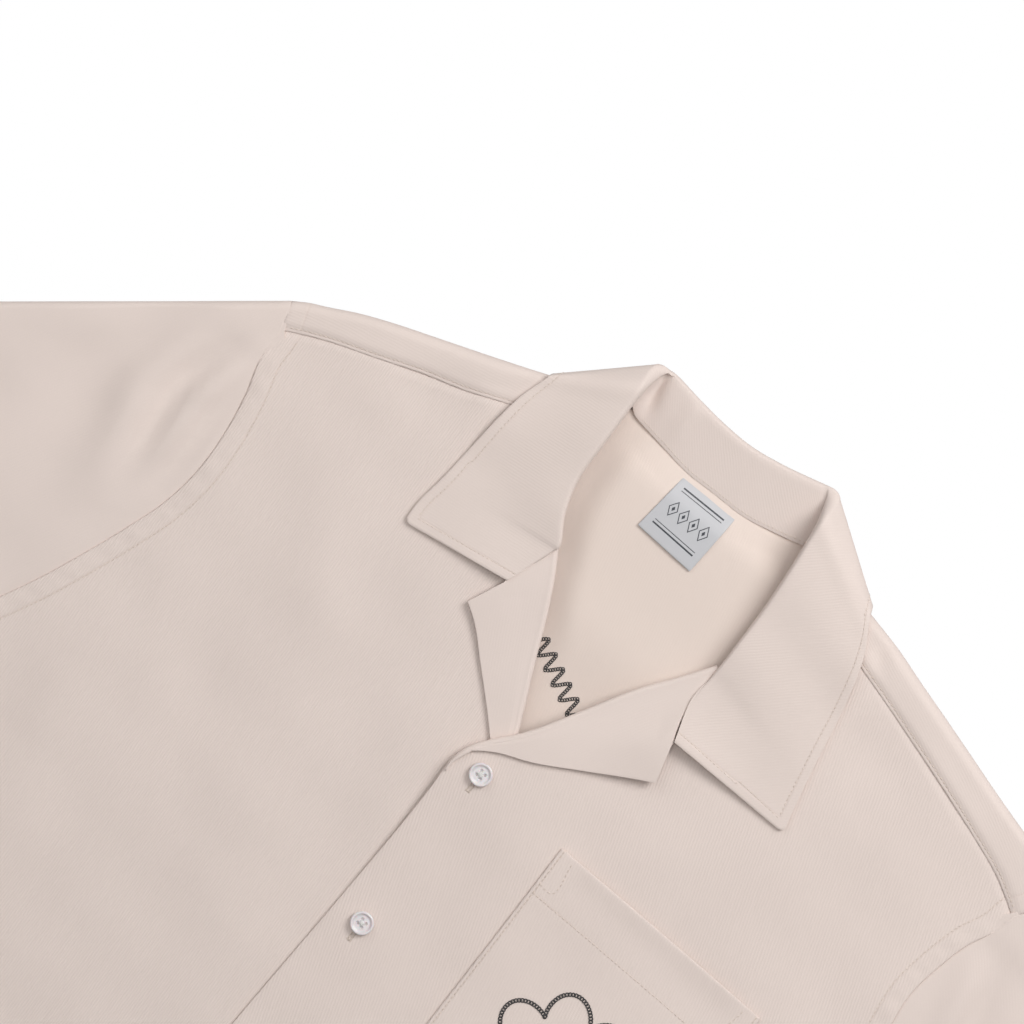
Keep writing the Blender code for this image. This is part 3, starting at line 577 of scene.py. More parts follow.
# The facings: each front's edge is turned back above the first button, and its facing shows as the
# lapel. It rolls round the front's edge and lies out to the tip and the notch.
over_lapel = (
    (-18.0, -180.4), (-18.1, -175.9), (-17.3, -171.6), (-14.9, -167.4), (-11.5, -164.3), (-7.6, -161.6),
    (-3.4, -159.1), (1.3, -157.0), (8.6, -154.2), (32.1, -141.5), (57.0, -127.4), (63.5, -124.0),
)
under_lapel = ((9, -178.5), (-11.4, -155.1), (-37.1, -130.4), (-51.3, -117.3), (-58.9, -112.3))
over_notch, under_notch = (58.3, -105.2), (-51.2, -94.6)
over_gorge, under_gorge = (52.6, -86), (-46.2, -80.5)
# Notch lifts: x, y, height and half-width of each.
notch_lifts = ((62, -112, 3.6, 22), (-54, -101, 1.8, 18))


def notch_lift(x, y):
    """The lift of the cloth round each lapel's notch, a bell curve of the distance to it."""
    return sum(h * np.exp(-((x - a) ** 2 + (y - b) ** 2) / (2 * s**2)) for a, b, h, s in notch_lifts)


def facing(name, sign, roll, lapel, notch, gorge, height, rib_angle):
    """Rows along the roll: 9 mm inside, a half circle round the front's edge, and out to the lapel's edge."""
    rows = 90
    seen = curve(roll, rows)
    along = unit_steps(seen)
    d = sign * np.stack([along[:, 1], -along[:, 0]], 1)
    middle = seen + roll_inset * d
    free = chain(curve(lapel, rows - 16), curve((lapel[-1], notch), 17))
    begun = smooth(run_of(seen) / 13)
    r = roll_radius * (0.3 + 0.7 * begun)
    z = height(middle[:, 0], middle[:, 1]) - cloth_wall / 2 - 1.0 * (1 - begun)
    middle = middle - ((1 - begun) * 0.7 * roll_radius)[:, None] * d
    lines = []
    for inward in (9.0, 6.0, 3.0):
        plan = middle + inward * d
        lines.append(with_height(plan, height(*plan.T) - cloth_wall / 2 - roll_radius - 0.033 * inward))
    for angle in np.radians(np.linspace(-90, 90, 15)):
        lines.append(with_height(middle - (r * np.cos(angle))[:, None] * d, z + r * np.sin(angle)))
    bend = np.array(gorge) - (middle[-1] + free[-1]) / 2
    for w in np.linspace(0, 1, 34)[1:]:
        plan = middle + w * (free - middle)
        plan = plan + np.linspace(0, 1, rows)[:, None] ** 6 * 4 * w * (1 - w) * bend
        lie = height(*plan.T) + 0.1 + (gap + facing_wall / 2 + 0.25 * smooth(w * 4)) * (0.15 + 0.85 * begun)
        lines.append(with_height(plan, lie + smooth(w * 1.5) * notch_lift(*plan.T)))
    grid = np.array(lines)
    onward = grid[:, -1, :2] - grid[:, -2, :2]
    onward /= np.linalg.norm(onward, axis=1)[:, None]
    tucked = smooth((np.arange(len(grid)) - 17) / 8)
    last = grid[:, -1]
    beyond = [
        with_height(
            last[:, :2] + np.maximum(reach * tucked, 0.02 * reach)[:, None] * onward, last[:, 2] - sink * tucked,
        )
        for reach, sink in ((0.5, 0.15), (1.2, 0.6), (3.2, 0.75))
    ]
    grid = np.concatenate([grid, np.stack(beyond, 1)], 1)
    cloth = cream_twill(name + " twill", 0.15)
    return sheet_of(name, [(grid, rib_uv(grid[..., :2], rib_angle), unsewn)], facing_wall, cloth, offset=0)


facing_left = dress(facing("left_lapel", 1, over_roll, over_lapel, over_notch, over_gorge, over, 60), "facing_left")
facing_right = dress(
    facing("right_lapel", -1, under_roll, under_lapel, under_notch, under_gorge, top, 118), "facing_right",
)

# The collar: one folded piece sewn round the neck. Its stand rises from the seam, rolls over, and its
# fall lies on the fronts, wraps round the shoulders and passes under the back.
# Each section: the seam, the seen fold, the free edge, the roll's radius, the direction of the seen
# fold in plan, the roll's tilt from upright (0 in front, 180 behind) and how far the roll has formed.
collar_sections = (
    ((-52.6, -93.8), (-50.5, -93.0), (-106.0, -101.6), 2.0, (1.0, 0.2), 0, 0.0),
    ((-48.4, -82.0), (-46.0, -80.5), (-106.4, -90.0), 2.0, (1.0, 0.3), 0, 0.08),
    ((-45.6, -72.5), (-42.0, -68.8), (-105.0, -78.5), 1.8, (1.0, 0.5), 0, 0.4),
    ((-48.0, -63.0), (-41.4, -63.6), (-104.1, -70.0), 2.0, (0.9, 0.5), 0, 0.76),
    ((-54.5, -50.0), (-48.6, -51.4), (-103.2, -57.0), 2.4, (0.9, 0.45), 0, 1.0),
    ((-61.0, -33.0), (-53.8, -34.6), (-101.8, -38.0), 2.8, (1.0, 0.2), 0, 1.0),
    ((-64.0, -15.0), (-54.9, -14.2), (-100.0, -23.0), 3.2, (1.0, 0.0), 0, 1.0),
    ((-64.0, -3.0), (-55.6, 5.0), (-97.6, -14.0), 3.4, (1.0, 0.1), 0, 1.0),
    ((-62.5, 3.0), (-55.8, 18.0), (-95.9, -8.4), 3.4, (1.0, 0.4), 14, 1.0),
    ((-61.0, 4.5), (-55.9, 26.8), (-94.9, -5.4), 3.2, (0.8, 0.7), 45, 1.0),
    ((-56.3, 8.0), (-55.5, 31.9), (-93.4, -3.4), 3.0, (0.2, 1.0), 90, 1.0),
    ((-53.5, 6.6), (-52.6, 32.6), (-90.2, -5.4), 3.2, (0.0, 1.0), 140, 1.0),
    ((-50.0, 5.0), (-47.0, 32.8), (-84.0, -8.0), 3.4, (0.0, 1.0), 180, 1.0),
    ((-33.9, 2.5), (-32.0, 30.6), (-52.0, -12.0), 3.4, (0.0, 1.0), 180, 1.0),
    ((-15.6, -0.2), (-15.0, 28.8), (-24.0, -14.0), 3.4, (0.0, 1.0), 180, 1.0),
    ((0.0, 0.0), (1.0, 28.6), (2.0, -14.5), 3.4, (0.0, 1.0), 180, 1.0),
    ((17.3, 0.2), (17.3, 31.0), (28.0, -13.0), 3.4, (0.0, 1.0), 180, 1.0),
    ((32.0, 3.0), (31.0, 34.2), (54.0, -10.0), 3.4, (0.0, 1.0), 180, 1.0),
    ((46.0, 6.4), (38.0, 36.0), (81.0, -7.0), 3.4, (0.0, 1.0), 180, 1.0),
    ((53.5, 8.4), (42.0, 36.8), (87.4, 3.0), 3.2, (0.0, 1.0), 140, 1.0),
    ((56.3, 9.8), (44.4, 36.6), (91.0, 5.0), 3.0, (-0.2, 1.0), 90, 1.0),
    ((61.5, 6.0), (45.0, 31.0), (93.2, 0.8), 3.2, (-0.8, 0.7), 45, 1.0),
    ((64.5, 2.5), (46.0, 22.0), (97.2, -6.0), 3.4, (-1.0, 0.4), 14, 1.0),
    ((67.0, -6.0), (47.8, 10.0), (102.2, -14.5), 3.4, (-1.0, 0.1), 0, 1.0),
    ((67.0, -20.0), (50.0, -8.0), (107.4, -28.0), 3.2, (-1.0, 0.0), 0, 1.0),
    ((64.5, -38.0), (51.9, -30.0), (112.2, -46.0), 3.0, (-1.0, -0.1), 0, 1.0),
    ((61.0, -52.0), (52.5, -49.0), (115.6, -63.0), 2.6, (-1.0, 0.0), 0, 1.0),
    ((57.5, -62.0), (52.8, -60.0), (118.2, -75.0), 2.2, (-1.0, 0.0), 0, 0.8),
    ((54.0, -72.0), (52.6, -70.0), (120.5, -85.0), 2.0, (-1.0, 0.0), 0, 0.3),
    ((53.9, -86.0), (52.4, -84.0), (122.9, -94.8), 2.0, (-1.0, 0.0), 0, 0.0),
    ((59.9, -104.0), (58.4, -103.5), (125.6, -105.0), 2.0, (-1.0, 0.0), 0, 0.0),
)
collar_wall, collar_inset = 1.4, 4.8
stand_steps, turn_steps, fall_steps, section_steps = 12, 14, 40, 8
left_gorge = ((52.4, -62), (52.6, -79), (53.1, -88), (55.7, -97), (59.2, -104.8))
right_gorge = ((-42.5, -66), (-46.2, -80.5), (-51.2, -94.6))


def leaf_lift(x, y):
    """The lapels' lift, and more where a leaf rises over its gorge seam and its notch."""
    over_gorges = np.minimum(from_line(x, y, left_gorge), from_line(x, y, right_gorge))
    left = 0.9 * np.exp(-((x - 66) ** 2 + (y + 108) ** 2) / (2 * 15**2))
    right = 0.6 * np.exp(-((x + 58) ** 2 + (y + 98) ** 2) / (2 * 14**2))
    return notch_lift(x, y) + 0.5 * np.exp(-((over_gorges / 9) ** 2)) + left + right


def collar_section(seam, fold, edge, r, toward, tilt, formed):
    """A section's points: a straight stand, a half ellipse tilted about the fold, and a fall to the free edge.

    Where the roll isn't formed, the points are blended with a flat line from the fold to the free edge."""
    half = collar_wall / 2
    seam, fold, edge = (np.array(p, float) for p in (seam, fold, edge))
    n = np.array(toward) / np.linalg.norm(toward)
    side = -1.0 if seam[0] < 0 else 1.0
    back_share = smooth(tilt / 180)
    seam_z = {45: 9.5, 90: 5.2, 140: 4.0, 180: 3.8}.get(tilt, cover(*seam) + gap + half + 0.1)
    edge_z = half + 0.12 if tilt == 180 else cover(*edge) + gap + half + 0.1
    if tilt in (45, 90, 140):
        edge_z = half + 0.12 + 7.4 * (1 + math.cos(math.radians(tilt)))
    middle = np.append(fold - (0.45 * r + half) * n, seam_z + r * math.cos(math.radians(tilt)))
    if tilt >= 90:
        middle[2] = half + 0.12 + r + (1 - back_share) * 9
    across = np.array((side * math.sin(math.radians(tilt)), 0, math.cos(math.radians(tilt))))
    turn = np.linspace(0, np.pi, turn_steps + 1)[:, None]
    arc = middle + r * (-np.cos(turn) * across + 0.45 * np.sin(turn) * np.append(n, 0))
    seam3, edge3 = np.append(seam, seam_z), np.append(edge, edge_z)
    stand = seam3 + np.linspace(0, 1, stand_steps + 1)[:-1, None] * (arc[0] - seam3)
    w = np.linspace(0, 1, fall_steps + 1)[1:, None]
    fall = arc[-1] + w * (edge3 - arc[-1])
    if tilt < 90:
        rest = cover(fall[:, 0], fall[:, 1]) + gap + half + 0.1 + leaf_lift(fall[:, 0], fall[:, 1])
        ease = 0.55 * w[:, 0] + 0.45 * smooth(w[:, 0] / 0.9)
        drop = arc[-1, 2] + ease * (edge3[2] - arc[-1, 2])
        fall[:, 2] = np.maximum(drop, rest) if tilt < 30 else drop
    rolled = np.concatenate([stand, arc, fall])
    share = np.r_[np.linspace(0, 0.02, stand_steps + turn_steps + 1), np.linspace(0.02, 1, fall_steps + 1)[1:]]
    flat = fold + share[:, None] * (edge - fold)
    flat = with_height(flat, cover(flat[:, 0], flat[:, 1]) + gap + half + 0.1 + leaf_lift(flat[:, 0], flat[:, 1]))
    return formed * rolled + (1 - formed) * flat


def rounded_corner(grid, row, column, radius):
    """The grid with one corner (row and column 0 or -1) drawn in to an arc.

    Within the radius of both edges, the offset (p, q) from the arc's centre is scaled by
    max(p, q) / length of (p, q), so the square corner becomes a quarter circle."""
    g = grid[:: -1 if row else 1, :: -1 if column else 1]
    a, b = grid_run(g, 0), grid_run(g, 1)
    e1, e2 = g[6, 6] - g[0, 6], g[6, 6] - g[6, 0]
    e1, e2 = e1 / np.linalg.norm(e1), e2 / np.linalg.norm(e2)
    p, q = np.clip(radius - a, 0, None), np.clip(radius - b, 0, None)
    scale = np.where((p > 0) & (q > 0), np.maximum(p, q) / np.maximum(np.hypot(p, q), 1e-9), 1)
    moved = g + (p * (1 - scale))[..., None] * e1 + (q * (1 - scale))[..., None] * e2
    return moved[:: -1 if row else 1, :: -1 if column else 1]


def between_sections(guide, times):
    """A cubic through matching points of the sections, with this many steps from each to the next."""
    slope = np.gradient(guide, axis=0)
    rows = []
    for u in np.arange(times) / times:
        a, b = 2 * u**3 - 3 * u**2 + 1, u**3 - 2 * u**2 + u
        rows.append(a * guide[:-1] + b * slope[:-1] + (1 - a) * guide[1:] + (u**3 - u**2) * slope[1:])
    made = np.stack(rows, 1).reshape(-1, *guide.shape[1:])
    return np.concatenate([made, guide[-1:]])


leaf = between_sections(np.array([collar_section(*s) for s in collar_sections]), section_steps)
leaf = rounded_corner(rounded_corner(leaf, 0, -1, 3.6), -1, -1, 3.6)
# The stand dips beside the fold on the wearer's right, and a soft ridge runs up it farther on.
up_stand = smooth(np.arange(leaf.shape[1]) / 7) * (np.arange(leaf.shape[1]) <= stand_steps + 1)
dented = -3.2 * np.exp(-((from_line(leaf[..., 0], leaf[..., 1], ((-53.0, 29), (-48.5, 5))) / 3.6) ** 2))
raised = 1.1 * np.exp(-((from_line(leaf[..., 0], leaf[..., 1], ((-31.5, 24), (-31.8, 6))) / 3.4) ** 2))
leaf[..., 2] += up_stand * (dented + raised)
across_run, along_run = grid_run(leaf, 1), grid_run(leaf, 0)
free_end = np.minimum(along_run, along_run[-1] - along_run)
collar_seam = np.minimum(across_run[:, -1:] - across_run, free_end)
# Each leaf's weave follows its unrolled plan: straight out from a column on the fall by the run across.
fixed = stand_steps + turn_steps + 6
out_way = leaf[:, -1, :2] - leaf[:, fixed, :2]
out_way /= np.linalg.norm(out_way, axis=1)[:, None]
unrolled = leaf[:, fixed, None, :2] + (across_run - across_run[:, fixed, None])[..., None] * out_way[:, None]
behind_uv = rib_uv(np.stack([along_run.mean(1, keepdims=True) + 0 * across_run, across_run], -1), -40)
turn_r, turn_l = 10 * section_steps, 20 * section_steps
collar_grids = [
    (leaf[: turn_r + 1], rib_uv(unrolled[: turn_r + 1], 6), collar_seam[: turn_r + 1]),
    (leaf[turn_r : turn_l + 1], behind_uv[turn_r : turn_l + 1], collar_seam[turn_r : turn_l + 1]),
    (leaf[turn_l:], rib_uv(unrolled[turn_l:], 43), collar_seam[turn_l:]),
]
collar_twill = cream_twill("collar twill", 0.34, inset=collar_inset)
collar = dress(sheet_of("neck_collar", collar_grids, collar_wall, collar_twill, offset=0), "collar")

# The chest pocket: a patch sewn 2 mm inside its edge on the wearer's left front, with a 25 mm hem
# across its mouth.
pocket_mouth = ((48.4, -175.6), (110, -177.6), (172.1, -180.1))
pocket_left = ((172.1, -180.1), (172.6, -240), (172.2, -302))
pocket_right = ((48.4, -175.6), (49.7, -240), (50.5, -298))
pocket_bottom = ((50.5, -298), (70, -317), (111, -321), (152, -320), (172.2, -302))
pocket_inset, mouth_hem = 2.0, 25
plan = coons(*(curve(line, 90) for line in (pocket_bottom, pocket_mouth, pocket_right[::-1], pocket_left[::-1])))
pocket_outline = pocket_mouth + pocket_left[1:] + pocket_bottom[::-1][1:] + pocket_right[::-1][1:]
edge_run = from_line(*np.moveaxis(plan, -1, 0), pocket_outline[2:])
mouth_run = from_line(*np.moveaxis(plan, -1, 0), pocket_mouth)
pocket_seam = np.minimum(edge_run, np.abs(mouth_run - mouth_hem) + 1.9)


def on_pocket(x, y):
    """The pocket's height: down at its sewn edges, and a little open at its mouth."""
    inside = from_line(x, y, pocket_outline[2:])
    mouth = 0.9 * np.exp(-((from_line(x, y, pocket_mouth) / 7) ** 2)) * smooth(inside / 22)
    return over(x, y) + lap + 0.35 - 0.5 * (1 - smooth(inside / 3.0)) + mouth


pocket_grid = with_height(plan, on_pocket(plan[..., 0], plan[..., 1]))
pocket_twill = cream_twill("pocket twill", 0.58, 0.00142, inset=pocket_inset)
pocket_grids = [(pocket_grid, rib_uv(plan, 103), pocket_seam)]
pocket = dress(sheet_of("chest_pocket", pocket_grids, cloth_wall, pocket_twill), "pocket")

# The neck label: a woven white tab sewn into the neck seam, with plain lines and a row of diamonds
# woven in charcoal.
label_corners = np.array(((-15.6, -0.9), (15.9, -0.7), (14.2, -36.1), (-18.8, -34.1)))
label_plan = coons(
    curve(label_corners[[3, 2]], 24), curve(label_corners[[0, 1]], 24),
    curve(label_corners[[3, 0]], 30), curve(label_corners[[2, 1]], 30),
)
label_lift = under_lift(label_plan[..., 0], label_plan[..., 1]) + 2 * cloth_wall + 0.1
label_lift = label_lift + 0.3 * np.sin(np.linspace(0, math.pi, 24))[None] * np.linspace(1, 0, 30)[:, None]
label_uv = np.stack(np.meshgrid(np.linspace(-16, 16, 24), np.linspace(-17.5, 17.5, 30)), -1)
satin, tree, shader = new_material("label satin", {"Roughness": 0.55})
lay = node(tree, "ShaderNodeUVMap", uv_map="weave").outputs[0]
u, v, _ = node(tree, "ShaderNodeSeparateXYZ", [(0, lay)]).outputs
u_away, v_away = maths(tree, "ABSOLUTE", u), maths(tree, "ABSOLUTE", v)


def drawn(value, centre, half):
    """1 where the value is within half of the centre, else 0."""
    return maths(tree, "LESS_THAN", maths(tree, "ABSOLUTE", maths(tree, "SUBTRACT", value, centre)), half)


# A thick and a fine line run along the top and the bottom, and four small diamonds stand between
# them in cells 6.1 mm wide, each with an outline and a heart.
half_row, half_cell = 0.0122, 0.00305
within = maths(tree, "LESS_THAN", u_away, half_row)
both_lines = maths(tree, "MAXIMUM", drawn(v_away, 0.0112, 0.00042), drawn(v_away, 0.0094, 0.0002))
in_cell = maths(tree, "PINGPONG", maths(tree, "ADD", u, half_row), half_cell)
off_centre = maths(tree, "ABSOLUTE", maths(tree, "SUBTRACT", in_cell, half_cell))
diamond = maths(tree, "ADD", off_centre, maths(tree, "MULTIPLY", v_away, 0.55))
heart = maths(tree, "LESS_THAN", diamond, 0.0008)
diamonds = maths(tree, "MAXIMUM", drawn(diamond, 0.0023, 0.00026), heart)
ink = maths(tree, "MULTIPLY", within, maths(tree, "MAXIMUM", both_lines, diamonds))
tree.links.new(mix(tree, ink, (0.55, 0.55, 0.57, 1), (0.045, 0.048, 0.06, 1)), shader.inputs["Base Color"])
thread_pitch = 0.0004
rows = maths(tree, "SINE", maths(tree, "MULTIPLY", v, 2 * math.pi / thread_pitch))
fibres = node(tree, "ShaderNodeTexNoise", [(0, lay), (2, 2400.0)]).outputs[0]
woven = bump(tree, maths(tree, "MULTIPLY_ADD", rows, 0.5, fibres), 0.4, 0.00004)
tree.links.new(woven, shader.inputs["Normal"])
label_grid = with_height(label_plan, label_lift)
neck_label = dress(sheet_of("neck_label", [(label_grid, label_uv, unsewn)], 0.6, satin), "label")

# The topstitching: cream thread in stitches 1.7 mm long, one every 2.3 mm, sunk a little into the
# cloth, along the shoulders, armholes, neck, collar, pocket and hems.
def thread_material(name, roughness, scale, dark, light, strength=0.0, distance=0.0):
    """Thread: fine noise between two colours, and the same noise as a bump where it has a strength."""
    made, tree, shader = new_material(name, {"Roughness": roughness})
    place = node(tree, "ShaderNodeTexCoord")
    strands = node(tree, "ShaderNodeTexNoise", [(0, place.outputs["Object"]), (2, scale)]).outputs[0]
    tree.links.new(mix(tree, strands, dark, light), shader.inputs["Base Color"])
    if strength:
        tree.links.new(bump(tree, strands, strength, distance), shader.inputs["Normal"])
    return made


thread = thread_material("cream thread", 0.7, 1800.0, (0.66, 0.555, 0.48, 1), (0.80, 0.70, 0.62, 1), 0.5, 0.0001)


def along_path(path, pitch):
    """Spots every pitch mm along a path of 3-D points, with the direction there."""
    s = run_of(path)
    count = max(int(s[-1] / pitch), 1)
    at = (np.arange(count) + 0.5) * s[-1] / count
    spots = np.stack([np.interp(at, s, path[:, k]) for k in range(3)], 1)
    ahead = np.stack([
        np.interp(at + 0.3, s, path[:, k]) - np.interp(at - 0.3, s, path[:, k]) for k in range(3)
    ], 1)
    return spots, ahead / np.linalg.norm(ahead, axis=1)[:, None]


def copies(name, stitch, spots, ahead, material):
    """One mesh of a stitch repeated: its points in a frame of ahead, side and up at every spot."""
    shape, faces = stitch
    side = np.cross((0, 0, 1), ahead)
    side /= np.linalg.norm(side, axis=1)[:, None]
    up = np.cross(ahead, side)
    points = (
        spots[:, None] + shape[None, :, :1] * ahead[:, None] + shape[None, :, 1:2] * side[:, None]
        + shape[None, :, 2:] * up[:, None]
    )
    index = np.arange(len(spots))[:, None, None] * len(shape) + np.asarray(faces)[None]
    piece = smooth_piece(name, points.reshape(-1, 3), index.reshape(-1, 4).tolist(), material)
    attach(piece, "root")
    return piece


def stitches(name, stitch, paths, pitch, material):
    """Copies of a stitch every pitch mm along all of these paths."""
    spots, ahead = map(np.concatenate, zip(*(along_path(path, pitch) for path in paths)))
    return copies(name, stitch, spots, ahead, material)


def grain(long, wide, tall):
    """A stitch: four rings of four points, narrow at both ends, and its faces."""
    turn = np.radians((0, 90, 180, 270))
    rings = []
    for along, size, sink in ((-0.5, 0.35, -0.5), (-0.28, 0.95, 0), (0.28, 0.95, 0), (0.5, 0.35, -0.5)):
        across, up = size * wide / 2 * np.cos(turn), size * tall / 2 * np.sin(turn) + sink * tall
        rings.append(np.stack([np.full(4, along * long), across, up], 1))
    index = np.arange(16).reshape(4, 4)[:, (0, 1, 2, 3, 0)]
    return np.concatenate(rings), grid_faces(index).tolist() + [[3, 2, 1, 0], [12, 13, 14, 15]]


def topstitch(name, paths):
    """The shirt's topstitching along these paths."""
    return stitches(name, grain(1.7, 0.4, 0.28), paths, 2.3, thread)


def inset_line(line, by, n=200, start=0.0, end=0.0):
    """A plan line moved sideways, to the left of its run where by is positive."""
    seen = curve(line, n, start, end)
    along = unit_steps(seen)
    return seen + by * np.stack([-along[:, 1], along[:, 0]], 1)


def on(height, plan, lift=0.1):
    """A plan line laid on a height function, this much above it."""
    return with_height(plan, height(*plan.T) + lift)


def strip_top(x, y):
    """The height of the shoulders' strips where they are stitched, on the dip beside their edge."""
    return top(x, y) + lap - edge_dip * smooth(1 - strip_inset / dip_width)


strip_inset, arm_inset, hem_row = 1.9, 9.7, -683
right_arm_stitch = inset_line(right_armhole, arm_inset, 300, start=16, end=6)
left_arm_stitch = inset_line(left_armhole, -arm_inset, 300, start=28, end=6)
front_left_stitches = topstitch("left_front_stitches", [
    on(over, left_arm_stitch), on(over, curve(((-22.5, hem_row), (283, hem_row)), 200)),
])
front_right_stitches = topstitch("right_front_stitches", [
    on(top, right_arm_stitch), on(top, curve(((-263, hem_row), (10, hem_row)), 200)),
])
right_strip_line = inset_line(right_strip[::-1], strip_inset, 200, start=4)
left_strip_line = inset_line(left_strip, strip_inset, 200, end=4)
back_stitches = topstitch("back_stitches", [on(strip_top, right_strip_line), on(strip_top, left_strip_line)])
for name, cuff, sign in (("left_sleeve_stitches", left_cuff, 1), ("right_sleeve_stitches", right_cuff, -1)):
    hem = inset_line(cuff, -cuff_hem * sign, 200, start=4, end=3)
    topstitch(name, [on(cover, hem)])

# The collar's outer face is the one that looks up on its fall behind the neck.
face = np.cross(np.gradient(leaf, axis=0), np.gradient(leaf, axis=1))
face /= np.linalg.norm(face, axis=2)[..., None]
if face[len(leaf) // 2 + 60, -3, 2] <= 0:
    face = -face
outer_face = leaf + face * (collar_wall / 2 + 0.05)


def on_leaf(rows):
    """The path on the collar's outer face at the stitching's inset from its free edge."""
    away = across_run[rows, -1:] - across_run[rows]
    return outer_face[rows, np.argmin(np.abs(away - collar_inset), axis=1)]


def across_leaf(columns, end):
    """The path along a leaf's lower end, row 0 or -1, at the stitching's inset from it."""
    away = np.abs(along_run[:, columns] - along_run[end, columns])
    return outer_face[np.argmin(np.abs(away - collar_inset), axis=0), columns]


near_ends = 11 * section_steps
low_rows = np.arange(4, near_ends)
high_rows = np.arange(len(leaf) - near_ends, len(leaf) - 4)
fall_columns = np.arange(stand_steps + turn_steps - 14, leaf.shape[1] - 3)
behind = leaf[11 * section_steps : 20 * section_steps]
up_from_seam = behind[:, 3] - behind[:, 0]
up_from_seam /= np.linalg.norm(up_from_seam, axis=1)[:, None]
neck_line = behind[:, 0] + 1.6 * up_from_seam + (0, 0, collar_wall / 2 + 0.05)
collar_stitches = topstitch("collar_stitches", [
    on_leaf(low_rows), on_leaf(high_rows), neck_line, across_leaf(fall_columns, 0), across_leaf(fall_columns, -1),
])
pocket_stitches = topstitch("pocket_stitches", [
    on(on_pocket, inset_line(pocket_left, -pocket_inset, 100, end=1)),
    on(on_pocket, inset_line(pocket_right[::-1], -pocket_inset, 100, start=1)),
    on(on_pocket, inset_line(pocket_bottom, pocket_inset, 120, start=2, end=2)),
    on(on_pocket, inset_line(pocket_mouth, -mouth_hem, 100, start=2.5, end=2.5)),
    on(on_pocket, curve(((50.5, -195.5), (57.5, -195.8), (57.0, -178.5)), 30)),
    on(on_pocket, curve(((170, -199.5), (163.0, -199.2), (163.3, -182.2)), 30)),
])

# The embroidery: black thread in chain stitch, loop through loop. A plain rosette is on the pocket,
# and a plain wave is inside the back, below the label.
black_thread = thread_material(
    "black thread", 0.6, 1500.0, (0.014, 0.013, 0.014, 1), (0.085, 0.08, 0.08, 1), 0.6, 0.00012,
)


def chain_stitch(name, paths, pitch, wide, thick):
    """Loops of thread: an ellipse ring of nine by four points, overlapping the next one."""
    turn = np.radians(np.arange(9) * 40)[:, None]
    tube = np.radians(np.arange(4) * 90)[None]
    r = thick / 2
    shape = np.stack([
        (0.66 * pitch + r * np.cos(tube)) * np.cos(turn), (wide / 2 - r + r * np.cos(tube)) * np.sin(turn),
        r * np.sin(tube) + 0.12 * np.cos(turn),
    ], -1).reshape(-1, 3)
    index = np.pad(np.arange(36).reshape(9, 4), ((0, 1), (0, 1)), mode="wrap")
    return stitches(name, (shape, grid_faces(index.T)), paths, pitch, black_thread)


def ring(radius):
    """A closed line round the rosette's centre, at one radius or at a radius for each of its points."""
    return np.stack([112 + radius * np.cos(turn), -263 + radius * np.sin(turn)], 1)


def inside_back(x, y):
    """The height of the back's inner face."""
    return under_lift(x, y) + cloth_wall


turn = np.linspace(0, 2 * math.pi, 721)
petals = 40 * (0.70 + 0.30 * np.abs(np.sin(4 * turn)) ** 0.75)
rosette = [on(on_pocket, ring(radius), 0.25) for radius in (petals, 19, 9)]
pocket_embroidery = chain_stitch("pocket_embroidery", rosette, 1.5, 2.3, 0.62)
wave = np.linspace(0, 1, 300)
swing = np.sin(10 * math.pi * wave)
wave_line = np.stack([-20.9 + 35.4 * wave + 1.6 * swing, -105.4 - 17 * wave + 3.6 * swing], 1)
inside_embroidery = chain_stitch("inside_embroidery", [on(inside_back, wave_line, 0.2)], 1.2, 2.0, 0.5)

# The buttons: six pearly four-hole buttons with a rounded rim, sewn on with white thread and pushed
# through vertical buttonholes, worked in closely set stitches.
buttons = ((-3.2, -172.2), (-3.2, -262.1), (-3.6, -352), (-4.0, -442), (-4.4, -532), (-4.8, -622))
pearl, tree, shader = new_material("pearl", {
    "Roughness": 0.28, "Coat Weight": 0.35, "Subsurface Weight": 0.12, "Subsurface Scale": 0.002,
})
place = node(tree, "ShaderNodeTexCoord")
clouds = node(tree, "ShaderNodeTexNoise", [(0, place.outputs["Object"]), (2, 320.0), (3, 3.0)])
tint = mix(tree, clouds.outputs[0], (0.66, 0.615, 0.62, 1), (0.84, 0.79, 0.80, 1))
tree.links.new(tint, shader.inputs["Base Color"])
white_thread = thread_material("white thread", 0.75, 2500.0, (0.66, 0.65, 0.63, 1), (0.86, 0.85, 0.83, 1))

